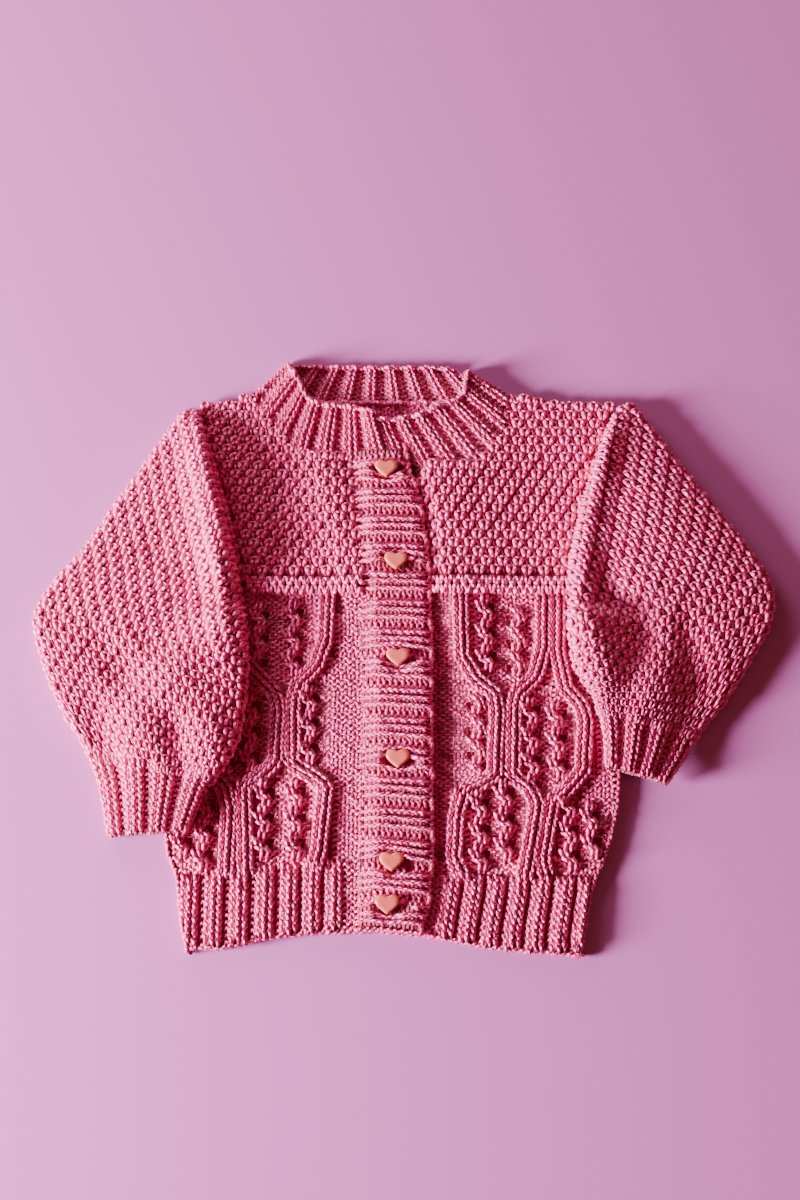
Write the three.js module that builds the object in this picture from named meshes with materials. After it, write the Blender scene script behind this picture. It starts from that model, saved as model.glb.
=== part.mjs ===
// A hand-knitted baby cardigan, buttoned and laid flat on its back.
// Millimetres, +X to the viewer's right, +Y towards the neck, +Z up from the surface it lies on.
// Every piece is one closed wall of cloth: its form is in the outer points, its inner side is plain.

import * as THREE from 'three';

// Cloth
const CLOTH = 2.4;
const SEAM = 0.3;
const RIB_RISE = 1.6;
const CABLE_RISE = 2.0;
const RIDGE_RISE = 1.2;
const EDGE_DROP = 1.0;
const EDGE_ROUND = 1.5;
const BAND_LAP = 2.5;

// Heights of the layers, each resting on the one below
const FRONT_BASE = CLOTH + SEAM;
const FRONT_TOP = FRONT_BASE + CLOTH;
const BAND_BASE = FRONT_TOP + SEAM;
const BAND_TOP = BAND_BASE + CLOTH;
const OVER_CABLES = FRONT_TOP + CABLE_RISE + SEAM;

// Colours and finish
const YARN = new THREE.MeshStandardMaterial({ color: 0xe0607f, roughness: 0.9, metalness: 0 });
const BUTTON = new THREE.MeshStandardMaterial({ color: 0xe8966f, roughness: 0.3, metalness: 0 });

const { clamp, lerp, smoothstep } = THREE.MathUtils;

// Reads a column of a table at a value of another column, in straight steps between the rows.
function read(table, by, column, value) {
  const rising = table[table.length - 1][by] > table[0][by];
  const rows = rising ? table : [...table].reverse();
  let next = rows.findIndex((row) => row[by] >= value);
  if (next === -1) next = rows.length - 1;
  if (next === 0) return rows[0][column];
  const [a, b] = [rows[next - 1], rows[next]];
  const share = clamp((value - a[by]) / (b[by] - a[by]), 0, 1);
  return lerp(a[column], b[column], share);
}

// A smooth route through a table of x and y, read by its share of length from 0 to 1.
function route(table) {
  const points = table.map(({ x, y, z = 0 }) => new THREE.Vector3(x, y, z));
  const curve = new THREE.CatmullRomCurve3(points, false, 'centripetal');
  curve.arcLengthDivisions = 400;
  return (share) => curve.getPointAt(clamp(share, 0, 1));
}

// The closed body with the given triangles, turned so that its faces point outwards.
function body(vertices, triangles) {
  let volume = 0;
  for (const [a, b, c] of triangles) {
    volume += new THREE.Vector3().crossVectors(vertices[b], vertices[c]).dot(vertices[a]) / 6;
  }
  const outward = volume > 0 ? triangles : triangles.map(([a, b, c]) => [a, c, b]);
  const geometry = new THREE.BufferGeometry();
  const positions = vertices.flatMap(({ x, y, z }) => [x, y, z]);
  geometry.setAttribute('position', new THREE.Float32BufferAttribute(positions, 3));
  geometry.setIndex(outward.flat());
  geometry.computeVertexNormals();
  return geometry;
}

// Triangles between two rows of points, each point given as { index, at } with at rising along its row.
function zip(triangles, lower, upper) {
  let i = 0;
  let j = 0;
  while (i < lower.length - 1 || j < upper.length - 1) {
    const lowerLeft = i < lower.length - 1;
    const upperLeft = j < upper.length - 1;
    if (lowerLeft && (!upperLeft || lower[i + 1].at <= upper[j + 1].at)) {
      triangles.push([lower[i].index, lower[i + 1].index, upper[j].index]);
      i += 1;
    } else {
      triangles.push([lower[i].index, upper[j + 1].index, upper[j].index]);
      j += 1;
    }
  }
}

// A panel with a flat underside: rows of upper points, each from the left edge to the right edge.
function slab(rows, underside) {
  const vertices = [];
  const triangles = [];
  const listed = rows.map((row) => {
    const [left, right] = [row[0].x, row[row.length - 1].x];
    return row.map((point, k) => {
      vertices.push(point);
      const byPlace = (point.x - left) / (right - left);
      return { index: vertices.length - 1, byPlace, byOrder: k / (row.length - 1) };
    });
  });
  for (let k = 0; k < listed.length - 1; k += 1) {
    const same = listed[k].length === listed[k + 1].length;
    const place = ({ index, byPlace, byOrder }) => ({ index, at: same ? byOrder : byPlace });
    zip(triangles, listed[k].map(place), listed[k + 1].map(place));
  }
  const rim = [
    ...listed[0].map(({ index }) => index),
    ...listed.slice(1, -1).map((row) => row[row.length - 1].index),
    ...listed[listed.length - 1].map(({ index }) => index).reverse(),
    ...listed.slice(1, -1).map((row) => row[0].index).reverse(),
  ];
  const below = new Map();
  for (const index of rim) {
    below.set(index, vertices.length);
    vertices.push(new THREE.Vector3(vertices[index].x, vertices[index].y, underside));
  }
  rim.forEach((index, k) => {
    const next = rim[(k + 1) % rim.length];
    triangles.push([index, below.get(index), below.get(next)], [index, below.get(next), next]);
  });
  const flat = listed.map((row, k) => {
    const ends = k === 0 || k === listed.length - 1 ? row : [row[0], row[row.length - 1]];
    return ends.map(({ index, byPlace }) => ({ index: below.get(index), at: byPlace }));
  });
  for (let k = 0; k < flat.length - 1; k += 1) {
    const facing = [];
    zip(facing, flat[k], flat[k + 1]);
    triangles.push(...facing.map(([a, b, c]) => [a, c, b]));
  }
  return body(vertices, triangles);
}

// A wall through closed rings of points, each given as { point, at }, from ring to ring and back round.
function tube(rings) {
  const vertices = [];
  const triangles = [];
  const listed = rings.map((ring) => {
    const row = ring.map(({ point, at }) => {
      vertices.push(point);
      return { index: vertices.length - 1, at };
    });
    return [...row, { index: row[0].index, at: 2 }];
  });
  listed.forEach((ring, k) => zip(triangles, ring, listed[(k + 1) % listed.length]));
  return body(vertices, triangles);
}

// Bottom edge of the body, and the line where the hem rib ends and the cables begin
const HEM = [
  { x: -99, y: -172 }, { x: -84, y: -172 }, { x: -61, y: -167 }, { x: -43, y: -165 }, { x: -10, y: -164 },
  { x: 19, y: -167 }, { x: 38, y: -171 }, { x: 57, y: -173 }, { x: 83, y: -175 },
];
const RIB_TOP = [
  { x: -110, y: -143 }, { x: -70, y: -136 }, { x: -28, y: -134 }, { x: 20, y: -140 }, { x: 105, y: -143 },
];
const UNDERARM_Y = -22;

// Garter ridge between the cables and the yoke
const RIDGE = { low: 2, high: 9.5, slope: 1.2 };

// One side of the garment, with smooth routes through the tables of its sleeve:
// fold is the armhole from the underarm (0) to the shoulder tip (1), inner and outer are the underarm edge
// and the top edge of the flattened sleeve down to the cuff's end, edge is the body below the underarm.
// innerCuff and outerCuff are the shares along those two edges where the cuff begins.
function sideOf(tables) {
  const { fold, inner, outer } = tables;
  return { ...tables, foldAt: route(fold), innerAt: route(inner), outerAt: route(outer) };
}

const LEFT = sideOf({
  side: -1,
  shoulder: { x: -100.6, y: 104 },
  fold: [
    { x: -75, y: -24 }, { x: -77, y: -4 }, { x: -79, y: 14 }, { x: -86, y: 41 }, { x: -94, y: 68 },
    { x: -103.5, y: 105 },
  ],
  edge: [
    { y: -172, x: -99 }, { y: -160, x: -102 }, { y: -146, x: -104 }, { y: -138, x: -105 },
    { y: -127, x: -110 }, { y: -119, x: -111 }, { y: -90, x: -110 }, { y: -66, x: -107 },
    { y: -50, x: -104 }, { y: -44, x: -98 }, { y: -34, x: -88 }, { y: UNDERARM_Y, x: -80 },
  ],
  inner: [
    { x: -75, y: -24 }, { x: -74, y: -38 }, { x: -74, y: -53 }, { x: -78, y: -78 }, { x: -85, y: -90 },
    { x: -92, y: -97 }, { x: -96, y: -107 }, { x: -100, y: -118 },
  ],
  outer: [
    { x: -103.5, y: 105 }, { x: -113, y: 97 }, { x: -125, y: 79 }, { x: -142, y: 52 }, { x: -160, y: 23 },
    { x: -174, y: 5 }, { x: -181, y: -10 }, { x: -177, y: -29 }, { x: -171, y: -44 }, { x: -163, y: -60 },
    { x: -152, y: -77 }, { x: -146, y: -92 }, { x: -141, y: -106 }, { x: -139, y: -120 },
  ],
  innerCuff: 0.72,
  outerCuff: 0.86,
});
const RIGHT = sideOf({
  side: 1,
  shoulder: { x: 107.6, y: 104 },
  fold: [
    { x: 83.5, y: -24 }, { x: 82.5, y: -6 }, { x: 83, y: 6 }, { x: 87, y: 27 }, { x: 94, y: 54 },
    { x: 101, y: 78 }, { x: 111, y: 105 },
  ],
  edge: [
    { y: -175, x: 83 }, { y: -169, x: 85 }, { y: -148, x: 89 }, { y: -139, x: 92 }, { y: -126, x: 98 },
    { y: -116, x: 101 }, { y: -102, x: 104 }, { y: -90, x: 105 }, { y: -66, x: 107 }, { y: -50, x: 105 },
    { y: -44, x: 101 }, { y: -34, x: 94 }, { y: UNDERARM_Y, x: 86.5 },
  ],
  inner: [
    { x: 83.5, y: -24 }, { x: 84, y: -32 }, { x: 86, y: -41 }, { x: 93, y: -51 }, { x: 97, y: -67 },
    { x: 98, y: -87 },
  ],
  outer: [
    { x: 111, y: 105 }, { x: 119, y: 104.5 }, { x: 133, y: 85 }, { x: 152, y: 58 }, { x: 171, y: 31 },
    { x: 181, y: 15 }, { x: 185.5, y: 1 }, { x: 182, y: -16 }, { x: 172, y: -33 }, { x: 158, y: -54 },
    { x: 146, y: -69 }, { x: 137, y: -83 }, { x: 128, y: -95 },
  ],
  innerCuff: 0.66,
  outerCuff: 0.84,
});

// The sleeve's fold overlaps the yoke by this much, except near the shoulder tip where it meets it.
// The front is tucked further under it between the underarm and the shoulder.
const FOLD_LAP = 4;
const LAP_END = [0.8, 0.95];
const TUCK = 3;
const TUCK_START = [0.24, 0.4];
const TUCK_END = [0.7, 0.88];

// The armhole edge of the back, from the underarm (s = 0) to the shoulder tip (s = 1).
function armhole(part, s, tuck = 0) {
  const point = part.foldAt(s);
  const lap = lerp(FOLD_LAP, -EDGE_ROUND, smoothstep(s, ...LAP_END));
  const extra = tuck * smoothstep(s, ...TUCK_START) * (1 - smoothstep(s, ...TUCK_END));
  point.x += part.side * (lap + extra);
  return point;
}

// Shares across a sleeve's ring, and along the armhole: close together where the cloth turns over.
const ACROSS = [0, 0.014, 0.05, 0.12, 0.23, 0.36, 0.5, 0.64, 0.77, 0.88, 0.95, 0.986, 1];
const ACROSS_INNER = [0, 0.1, 0.3, 0.5, 0.7, 0.9, 1];
const ARMHOLE_START = 0.05;
const ARMHOLE_END = 0.95;

// The points of one side of the body above the underarm, rising from the underarm to the shoulder tip.
function armholePoints(part, tuck = 0) {
  const shares = ACROSS.filter((s) => s >= ARMHOLE_START && s <= ARMHOLE_END);
  const points = shares.map((s) => armhole(part, s, tuck));
  return [...points, new THREE.Vector3(part.shoulder.x, part.shoulder.y, 0)];
}

const hemAt = (x) => read(HEM, 'x', 'y', x);
const ribTopAt = (x) => read(RIB_TOP, 'x', 'y', x);
const edgeAt = (part, y) => read(part.edge, 'y', 'x', y);

// The neckband, a strip from the left front end round the back to the right front end.
// Each row is one station: the edge joined to the body, and the free edge round the neck.
const NECK = [
  { name: 'left end', jx: -7, jy: 78, rx: -13.5, ry: 98.5, floor: 1.62 },
  { name: 'left front', jx: -24, jy: 77, rx: -26, ry: 102.5, floor: 1 },
  { name: 'left front bend', jx: -45, jy: 79, rx: -39, ry: 103.5, floor: 1 },
  { name: 'left corner', jx: -59, jy: 88, rx: -47, ry: 107, floor: 1 },
  { name: 'left side', jx: -69, jy: 101, rx: -51, ry: 115, floor: 1 },
  { name: 'left top', jx: -73, jy: 110, rx: -56, ry: 124, floor: 0.98 },
  { name: 'left fold', jx: -74, jy: 112, rx: -57.5, ry: 126.5, floor: 0.5 },
  { name: 'back left', jx: -70, jy: 110, rx: -54, ry: 127, floor: 0.02 },
  { name: 'back left bend', jx: -58, jy: 106.5, rx: -45, ry: 127, floor: 0 },
  { name: 'back', jx: -12, jy: 105.5, rx: -10, ry: 126.5, floor: 0 },
  { name: 'back right bend', jx: 37, jy: 107, rx: 22, ry: 126, floor: 0 },
  { name: 'back right', jx: 47, jy: 110.5, rx: 31, ry: 123.5, floor: 0.02 },
  { name: 'right fold', jx: 51.5, jy: 113, rx: 34.5, ry: 122, floor: 0.5 },
  { name: 'right top', jx: 52.5, jy: 110, rx: 34, ry: 119, floor: 0.98 },
  { name: 'right side', jx: 53, jy: 102, rx: 32.5, ry: 110, floor: 1 },
  { name: 'right corner', jx: 51, jy: 89, rx: 29, ry: 106, floor: 1 },
  { name: 'right front bend', jx: 41, jy: 75, rx: 21, ry: 103.5, floor: 1 },
  { name: 'right front', jx: 22, jy: 73, rx: 10, ry: 98, floor: 1 },
  { name: 'right end', jx: 3, jy: 75, rx: -6, ry: 95, floor: 1 },
];
const LAYER_STEP = FRONT_BASE;
const NECK_RIBS = 22;
const NECK_STATIONS = 4 * NECK_RIBS;
const NECK_RISE = 0.8 * RIB_RISE;
const NECK_ACROSS = [0, 0.12, 0.88, 1];
const LOOK_AHEAD = 0.004;
const FACES_UP = 0.9;

const neckHeight = (floor) => CLOTH / 2 + floor * LAYER_STEP;
const neckJoin = route(NECK.map(({ jx, jy, floor }) => ({ x: jx, y: jy, z: neckHeight(floor) })));
const neckRim = route(NECK.map(({ rx, ry, floor }) => ({ x: rx, y: ry, z: neckHeight(floor) })));

// The front's neckline, inside the neckband's joined edge by the seam gap, from the centre to the shoulder.
function neckline(names) {
  const picked = names.map((name) => NECK.find((row) => row.name === name));
  return picked.map(({ jx, jy }) => ({ x: jx, y: jy }));
}
const NECK_CLEAR = 1.6;
const NECK_CENTRE = { x: -10, y: 110 };

// A neckline point moved away from the middle of the neck, clear of the band.
function clearOfNeck({ x, y }) {
  const away = new THREE.Vector2(x - NECK_CENTRE.x, y - NECK_CENTRE.y).setLength(NECK_CLEAR);
  return new THREE.Vector3(x + away.x, y + away.y, 0);
}

// Cable strands: raised ribs of three stitches that part and meet again, by their middle at each height.
// runsOut gives the heights between which a strand sinks away under the sleeve.
const STRAND_HALF = 3.0;
const STRAND_CREST = 1.7;
const RIGHT_STRANDS = [
  // Nearest the band
  {
    path: [
      { y: -140, x: 30 }, { y: -130, x: 25.5 }, { y: -109, x: 27 },
      { y: -98.5, x: 30 }, { y: -95, x: 37.5 }, { y: -90, x: 45.5 },
      { y: -58, x: 47.5 }, { y: -50, x: 46 }, { y: -42.5, x: 37 },
      { y: -31, x: 30.5 }, { y: 0, x: 30 },
    ],
  },
  // Middle
  {
    path: [
      { y: -140, x: 58.5 }, { y: -116, x: 63.5 }, { y: -104, x: 65.5 },
      { y: -96.5, x: 62 }, { y: -91, x: 54.5 }, { y: -58, x: 55.5 },
      { y: -50, x: 57 }, { y: -41.5, x: 66 }, { y: -27, x: 70.5 },
      { y: 0, x: 71.5 },
    ],
  },
  // Beside the sleeve
  {
    path: [
      { y: -140, x: 69 }, { y: -130, x: 67.5 }, { y: -112, x: 71 },
      { y: -103, x: 73 }, { y: -97.5, x: 80 }, { y: -88, x: 88 },
      { y: -63, x: 90 }, { y: -55.5, x: 88 }, { y: -47.5, x: 81 },
      { y: -30, x: 77.5 }, { y: 0, x: 78.5 },
    ],
  },
];
const LEFT_STRANDS = [
  // Beside the sleeve
  {
    runsOut: { from: -60, to: -50 },
    path: [
      { y: -140, x: -82 }, { y: -107, x: -81.5 }, { y: -97, x: -84 },
      { y: -90, x: -91 }, { y: -84, x: -94 }, { y: -60, x: -94 }, { y: -50, x: -90 }, { y: 0, x: -76 },
    ],
  },
  // Middle
  {
    path: [
      { y: -140, x: -72.5 }, { y: -114, x: -74 }, { y: -96, x: -75 },
      { y: -91, x: -67.5 }, { y: -84, x: -60 }, { y: -58, x: -59 },
      { y: -50, x: -61 }, { y: -44, x: -68 }, { y: -30, x: -71 },
      { y: 0, x: -71 },
    ],
  },
  // Nearest the band
  {
    path: [
      { y: -140, x: -42 }, { y: -127, x: -38.5 }, { y: -96, x: -35.5 },
      { y: -90, x: -43 }, { y: -85, x: -51.5 }, { y: -54, x: -52 },
      { y: -45, x: -49.5 }, { y: -36, x: -41 }, { y: -22, x: -36.5 },
      { y: 0, x: -36 },
    ],
  },
];

// Centre front edges of the two fronts, where the bands are knitted on
const LEFT_CENTRE = [
  { y: -175, x: -18 }, { y: -126, x: -16.5 }, { y: -53, x: -15.5 }, { y: 19, x: -18.5 }, { y: 76, x: -22 },
];
const RIGHT_CENTRE = [
  { y: -175, x: 14 }, { y: -126, x: 15 }, { y: -22, x: 15 }, { y: 41, x: 12 }, { y: 72, x: 6 },
];

const HEM_RIBS = { left: { first: -95, last: -29, count: 7 }, right: { first: 25, last: 76.5, count: 6 } };
const RIB_FOOT = 3.6;
const RIB_CREST = 2.4;
const LEAST_STEP = 0.3;
const SIDE_X = 90;
const CABLE_FOOT_Y = -139;
const CABLE_ROWS = 26;
const YOKE_STEPS = 14;
const YOKE_START = 3;
const YOKE_HEIGHTS = [RIDGE.high + YOKE_START, 30, 50, 66];

// How much of a strand's height is left at y: 1 where it stands up, 0 where it has run out.
function strandShare(runsOut, y) {
  return runsOut ? clamp((runsOut.to - y) / (runsOut.to - runsOut.from), 0, 1) : 1;
}

// One row of points between two edges, with a raised crest of four points for each strand.
function crestRow(left, right, strands, heightAt, drop) {
  const points = [{ x: left + EDGE_ROUND, rise: 0 }];
  for (const { x, foot, crest, rise } of strands) {
    points.push({ x: x - foot, rise: 0 }, { x: x - crest, rise });
    points.push({ x: x + crest, rise }, { x: x + foot, rise: 0 });
  }
  points.push({ x: right - EDGE_ROUND, rise: 0 });
  const spare = EDGE_ROUND * LEAST_STEP;
  for (let k = 1; k < points.length; k += 1) points[k].x = Math.max(points[k].x, points[k - 1].x + spare);
  for (let k = points.length - 2; k >= 0; k -= 1) {
    points[k].x = Math.min(points[k].x, points[k + 1].x - spare);
  }
  const row = points.map(({ x, rise }) => new THREE.Vector3(x, heightAt(x), FRONT_TOP + rise));
  row.unshift(new THREE.Vector3(left, heightAt(left), FRONT_TOP - drop.left));
  row.push(new THREE.Vector3(right, heightAt(right), FRONT_TOP - drop.right));
  return row;
}

// A front of the cardigan: hem rib, cables, garter ridge and plain yoke.
function front(part, centre, strands, ribs, necklinePoints) {
  const left = part.side < 0;
  const drop = { left: left ? EDGE_DROP : 0, right: left ? 0 : EDGE_DROP };
  const between = (y) => {
    const [side, middle] = [edgeAt(part, y), read(centre, 'y', 'x', y)];
    return left ? [side, middle] : [middle, side];
  };
  const rows = [];
  for (const share of [0, 0.5, 1]) {
    const sideX = part.side * SIDE_X;
    const [from, to] = between(lerp(hemAt(sideX), ribTopAt(sideX), share));
    const crests = [];
    for (let k = 0; k < ribs.count; k += 1) {
      const x = lerp(ribs.first, ribs.last, k / (ribs.count - 1));
      crests.push({ x, foot: RIB_FOOT, crest: RIB_CREST, rise: RIB_RISE });
    }
    rows.push(crestRow(from, to, crests, (x) => lerp(hemAt(x), ribTopAt(x), share), drop));
  }
  for (let k = 1; k <= CABLE_ROWS; k += 1) {
    const share = k / CABLE_ROWS;
    const middle = lerp(CABLE_FOOT_Y, RIDGE.low, share);
    const crests = strands.map(({ path, runsOut }) => ({
      x: read(path, 'y', 'x', middle),
      foot: STRAND_HALF,
      crest: STRAND_CREST,
      rise: CABLE_RISE * strandShare(runsOut, middle),
    }));
    const [from, to] = middle < UNDERARM_Y ? between(middle) : betweenArmhole(part, centre, middle);
    rows.push(crestRow(from, to, crests, (x) => lerp(ribTopAt(x), RIDGE.low, share), drop));
  }
  rows.push(...ridgeRows(part, centre));
  rows.push(...yokeRows(part, centre, necklinePoints));
  return slab(rows, FRONT_BASE);
}

// Left and right edge of a front above the underarm, at one height.
function betweenArmhole(part, centre, y) {
  const points = armholePoints(part, TUCK).slice(0, -1).map(({ x, y: height }) => ({ x, y: height }));
  const under = { x: edgeAt(part, UNDERARM_Y), y: UNDERARM_Y };
  const side = read([under, ...points], 'y', 'x', y);
  const middle = read(centre, 'y', 'x', y);
  return part.side < 0 ? [side, middle] : [middle, side];
}

// The garter ridge that divides the yoke from the cables; it stops short of the sleeve's fold.
const RIDGE_CLEAR = FOLD_LAP + TUCK + 2;
function ridgeRows(part, centre) {
  const heights = [
    { y: RIDGE.low + RIDGE.slope, rise: RIDGE_RISE },
    { y: RIDGE.high - RIDGE.slope, rise: RIDGE_RISE },
    { y: RIDGE.high, rise: 0 },
  ];
  return heights.map(({ y, rise }) => {
    const [from, to] = betweenArmhole(part, centre, y);
    const clear = part.side < 0 ? [RIDGE_CLEAR, BAND_LAP + 1] : [EDGE_ROUND * 2, RIDGE_CLEAR];
    const xs = [from, from + clear[0], from + clear[0] + 1, to - clear[1] - 1, to - clear[1], to];
    const rises = [0, 0, rise, rise, 0, 0];
    return xs.map((x, k) => new THREE.Vector3(x, y, FRONT_TOP + rises[k]));
  });
}

// The yoke, from the ridge to the neckline and the shoulder: rows fanned between its two edges.
function yokeRows(part, centre, necklinePoints) {
  const sideRoute = route(armholePoints(part, TUCK).filter(({ y }) => y > RIDGE.high + YOKE_START - 1));
  const centrePoints = YOKE_HEIGHTS.map((y) => ({ x: read(centre, 'y', 'x', y), y }));
  const innerRoute = route([...centrePoints, ...necklinePoints.map(clearOfNeck)]);
  const rows = [];
  for (let k = 0; k <= YOKE_STEPS; k += 1) {
    const side = sideRoute(k / YOKE_STEPS);
    const inner = innerRoute(k / YOKE_STEPS);
    const row = [0, 0.33, 0.67, 1].map((share) => new THREE.Vector3().lerpVectors(side, inner, share));
    for (const point of row) point.z = FRONT_TOP;
    rows.push(part.side < 0 ? row : row.reverse());
  }
  return rows;
}

// The back, one flat panel under everything else.
function back() {
  const leftSide = [...LEFT.edge].reverse().map(({ x, y }) => new THREE.Vector3(x, y, 0));
  const rightSide = RIGHT.edge.map(({ x, y }) => new THREE.Vector3(x, y, 0));
  const names = ['back left', 'back left bend', 'back', 'back right bend', 'back right'];
  const neck = neckline(names).map(({ x, y }) => new THREE.Vector3(x, y - NECK_CLEAR / 2, 0));
  const outline = [
    ...armholePoints(LEFT).reverse(),
    ...leftSide,
    ...HEM.slice(1, -1).map(({ x, y }) => new THREE.Vector3(x, y, 0)),
    ...rightSide,
    ...armholePoints(RIGHT),
    ...neck.reverse(),
  ];
  const shape = new THREE.Shape(outline.map(({ x, y }) => new THREE.Vector2(x, y)));
  return new THREE.ExtrudeGeometry(shape, { depth: CLOTH, bevelEnabled: false });
}

// Keeps a point from sinking into the surface that the garment lies on.
function onSurface(point) {
  point.z = Math.max(point.z, 0);
  return point;
}

// The neckband: ribs on the side that faces up, over a plain side that faces down.
function neckband() {
  const outer = [];
  const inner = [];
  for (let k = 0; k <= NECK_STATIONS; k += 1) {
    const share = k / NECK_STATIONS;
    const join = neckJoin(share);
    const rim = neckRim(share);
    const [before, after] = [Math.max(share - LOOK_AHEAD, 0), Math.min(share + LOOK_AHEAD, 1)];
    const ahead = neckJoin(after).sub(neckJoin(before));
    const aheadRim = neckRim(after).sub(neckRim(before));
    const normal = ahead.add(aheadRim).cross(rim.clone().sub(join)).normalize();
    const onCrest = k % 4 < 2 && Math.abs(normal.z) > FACES_UP;
    const rise = onCrest ? NECK_RISE : 0;
    const [above, below] = normal.z >= 0 ? [rise, 0] : [0, rise];
    const line = NECK_ACROSS.map((v) => join.clone().lerp(rim, v));
    outer.push(line.map((p) => onSurface(p.clone().addScaledVector(normal, CLOTH / 2 + above))));
    inner.push(line.map((p) => onSurface(p.clone().addScaledVector(normal, -CLOTH / 2 - below))));
  }
  return wall(outer, inner);
}

// A wall between two grids of points that are alike in size, closed along all four edges.
function wall(outer, inner) {
  const vertices = [...outer.flat(), ...inner.flat()];
  const across = outer[0].length;
  const half = outer.length * across;
  const triangles = [];
  const quad = (a, b, c, d) => triangles.push([a, b, c], [a, c, d]);
  for (let i = 0; i < outer.length - 1; i += 1) {
    for (let j = 0; j < across - 1; j += 1) {
      const at = i * across + j;
      quad(at, at + across, at + across + 1, at + 1);
      quad(half + at, half + at + 1, half + at + across + 1, half + at + across);
    }
    const [from, to] = [i * across, (i + 1) * across];
    quad(from, half + from, half + to, to);
    quad(from + across - 1, to + across - 1, half + to + across - 1, half + from + across - 1);
  }
  const last = (outer.length - 1) * across;
  for (let j = 0; j < across - 1; j += 1) {
    quad(j, j + 1, half + j + 1, half + j);
    quad(last + j, half + last + j, half + last + j + 1, last + j + 1);
  }
  return body(vertices, triangles);
}

// The buttonhole band on top: horizontal ribs, a scalloped free edge, hollows under the buttons.
const BAND_EDGE = [
  { y: -166, x: 9 }, { y: -150, x: 14 }, { y: -126, x: 16 }, { y: -22, x: 16 }, { y: 19, x: 15 },
  { y: 50, x: 11 }, { y: 74, x: 4 },
];
const BAND_RIB_PITCH = 14.6;
const BAND_RISE = 1.4;
const BAND_FOOT = 4.6;
const BAND_CREST = 3.2;
const SCALLOP = 0.8;
const BAND_BOTTOM = -163;
const BAND_HEIGHT = 236.5;
const BAND_X = -10;
const BUTTON_BAND_EDGE = -16;
const BUTTON_BAND_ROWS = 8;

const BUTTONS = [
  { x: -7, y: 67 }, { x: -2, y: 17.5 }, { x: -1, y: -32.5 }, { x: -1, y: -83 }, { x: -4, y: -132.5 },
  { x: -6, y: -152.5 },
];
const BUTTON_WIDTH = 12;
const BUTTON_THICK = 2.6;
const BUTTON_BEVEL = 0.7;
const BUTTON_SEAT = 6.6;

// Heights of the band's rows above its hem end: four for each rib, and one above and below each button.
function bandLevels() {
  const ribs = Math.round(BAND_HEIGHT / BAND_RIB_PITCH);
  const pitch = BAND_HEIGHT / ribs;
  const seats = BUTTONS.flatMap(({ y }) => [y - BUTTON_SEAT - BAND_BOTTOM, y + BUTTON_SEAT - BAND_BOTTOM]);
  const levels = [0, BAND_HEIGHT];
  for (let k = 0; k < ribs; k += 1) {
    const crest = (k + 0.5) * pitch;
    levels.push(...[-BAND_FOOT, -BAND_CREST, BAND_CREST, BAND_FOOT].map((offset) => crest + offset));
  }
  const kept = levels.filter((y) => seats.every((seat) => Math.abs(seat - y) > EDGE_ROUND / 2));
  const riseAt = (y) => {
    const fromCrest = Math.abs(((y / pitch) % 1) - 0.5) * pitch;
    return clamp((BAND_FOOT - fromCrest) / (BAND_FOOT - BAND_CREST), 0, 1);
  };
  return [...kept, ...seats].sort((a, b) => a - b).map((y) => ({ y, rise: riseAt(y) }));
}

function buttonholeBand() {
  const rows = bandLevels().map(({ y, rise }) => {
    const along = BAND_BOTTOM + y;
    const from = read(LEFT_CENTRE, 'y', 'x', along) - BAND_LAP;
    const to = read(BAND_EDGE, 'y', 'x', along) - SCALLOP * rise;
    const line = read(BUTTONS, 'y', 'x', along);
    const seated = BUTTONS.some((b) => Math.abs(b.y - along) <= BUTTON_SEAT + SEAM);
    const columns = [
      { x: from, high: 0 }, { x: from + EDGE_ROUND, high: 1 }, { x: line - BUTTON_SEAT - 1, high: 1 },
      { x: line - BUTTON_SEAT, high: seated ? 0 : 1 }, { x: line + BUTTON_SEAT, high: seated ? 0 : 1 },
      { x: line + BUTTON_SEAT + 1, high: 1 }, { x: to - EDGE_ROUND, high: 1 }, { x: to, high: 0 },
    ];
    return columns.map(({ x, high }) => {
      const height = along + (hemAt(x) - hemAt(BAND_X)) * (1 - y / BAND_HEIGHT);
      return new THREE.Vector3(x, height, BAND_TOP + high * BAND_RISE * rise);
    });
  });
  return slab(rows, BAND_BASE);
}

// The button band underneath, plain, because the band above hides it.
function buttonBand() {
  const rows = [];
  const top = RIGHT_CENTRE[RIGHT_CENTRE.length - 1].y;
  for (let k = 0; k <= BUTTON_BAND_ROWS; k += 1) {
    const y = lerp(BAND_BOTTOM, top, k / BUTTON_BAND_ROWS);
    const from = Math.max(read(LEFT_CENTRE, 'y', 'x', y) + SEAM * 2, BUTTON_BAND_EDGE);
    const to = read(RIGHT_CENTRE, 'y', 'x', y) - SEAM * 4;
    const height = (x) => y + (k === 0 ? hemAt(x) - hemAt(BAND_X) : 0);
    rows.push([from, (from + to) / 2, to].map((x) => new THREE.Vector3(x, height(x), FRONT_TOP)));
  }
  return slab(rows, FRONT_BASE);
}

// A heart's outline, in units of which it is 32 wide: its height is a sum of waves round the outline.
const HEART_HALF = 16;
const HEART_WAVES = [12.5, -4.2, -1.8, -0.6];
const HEART_LIFT = 2;
const HEART_STEPS = 22;

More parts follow.
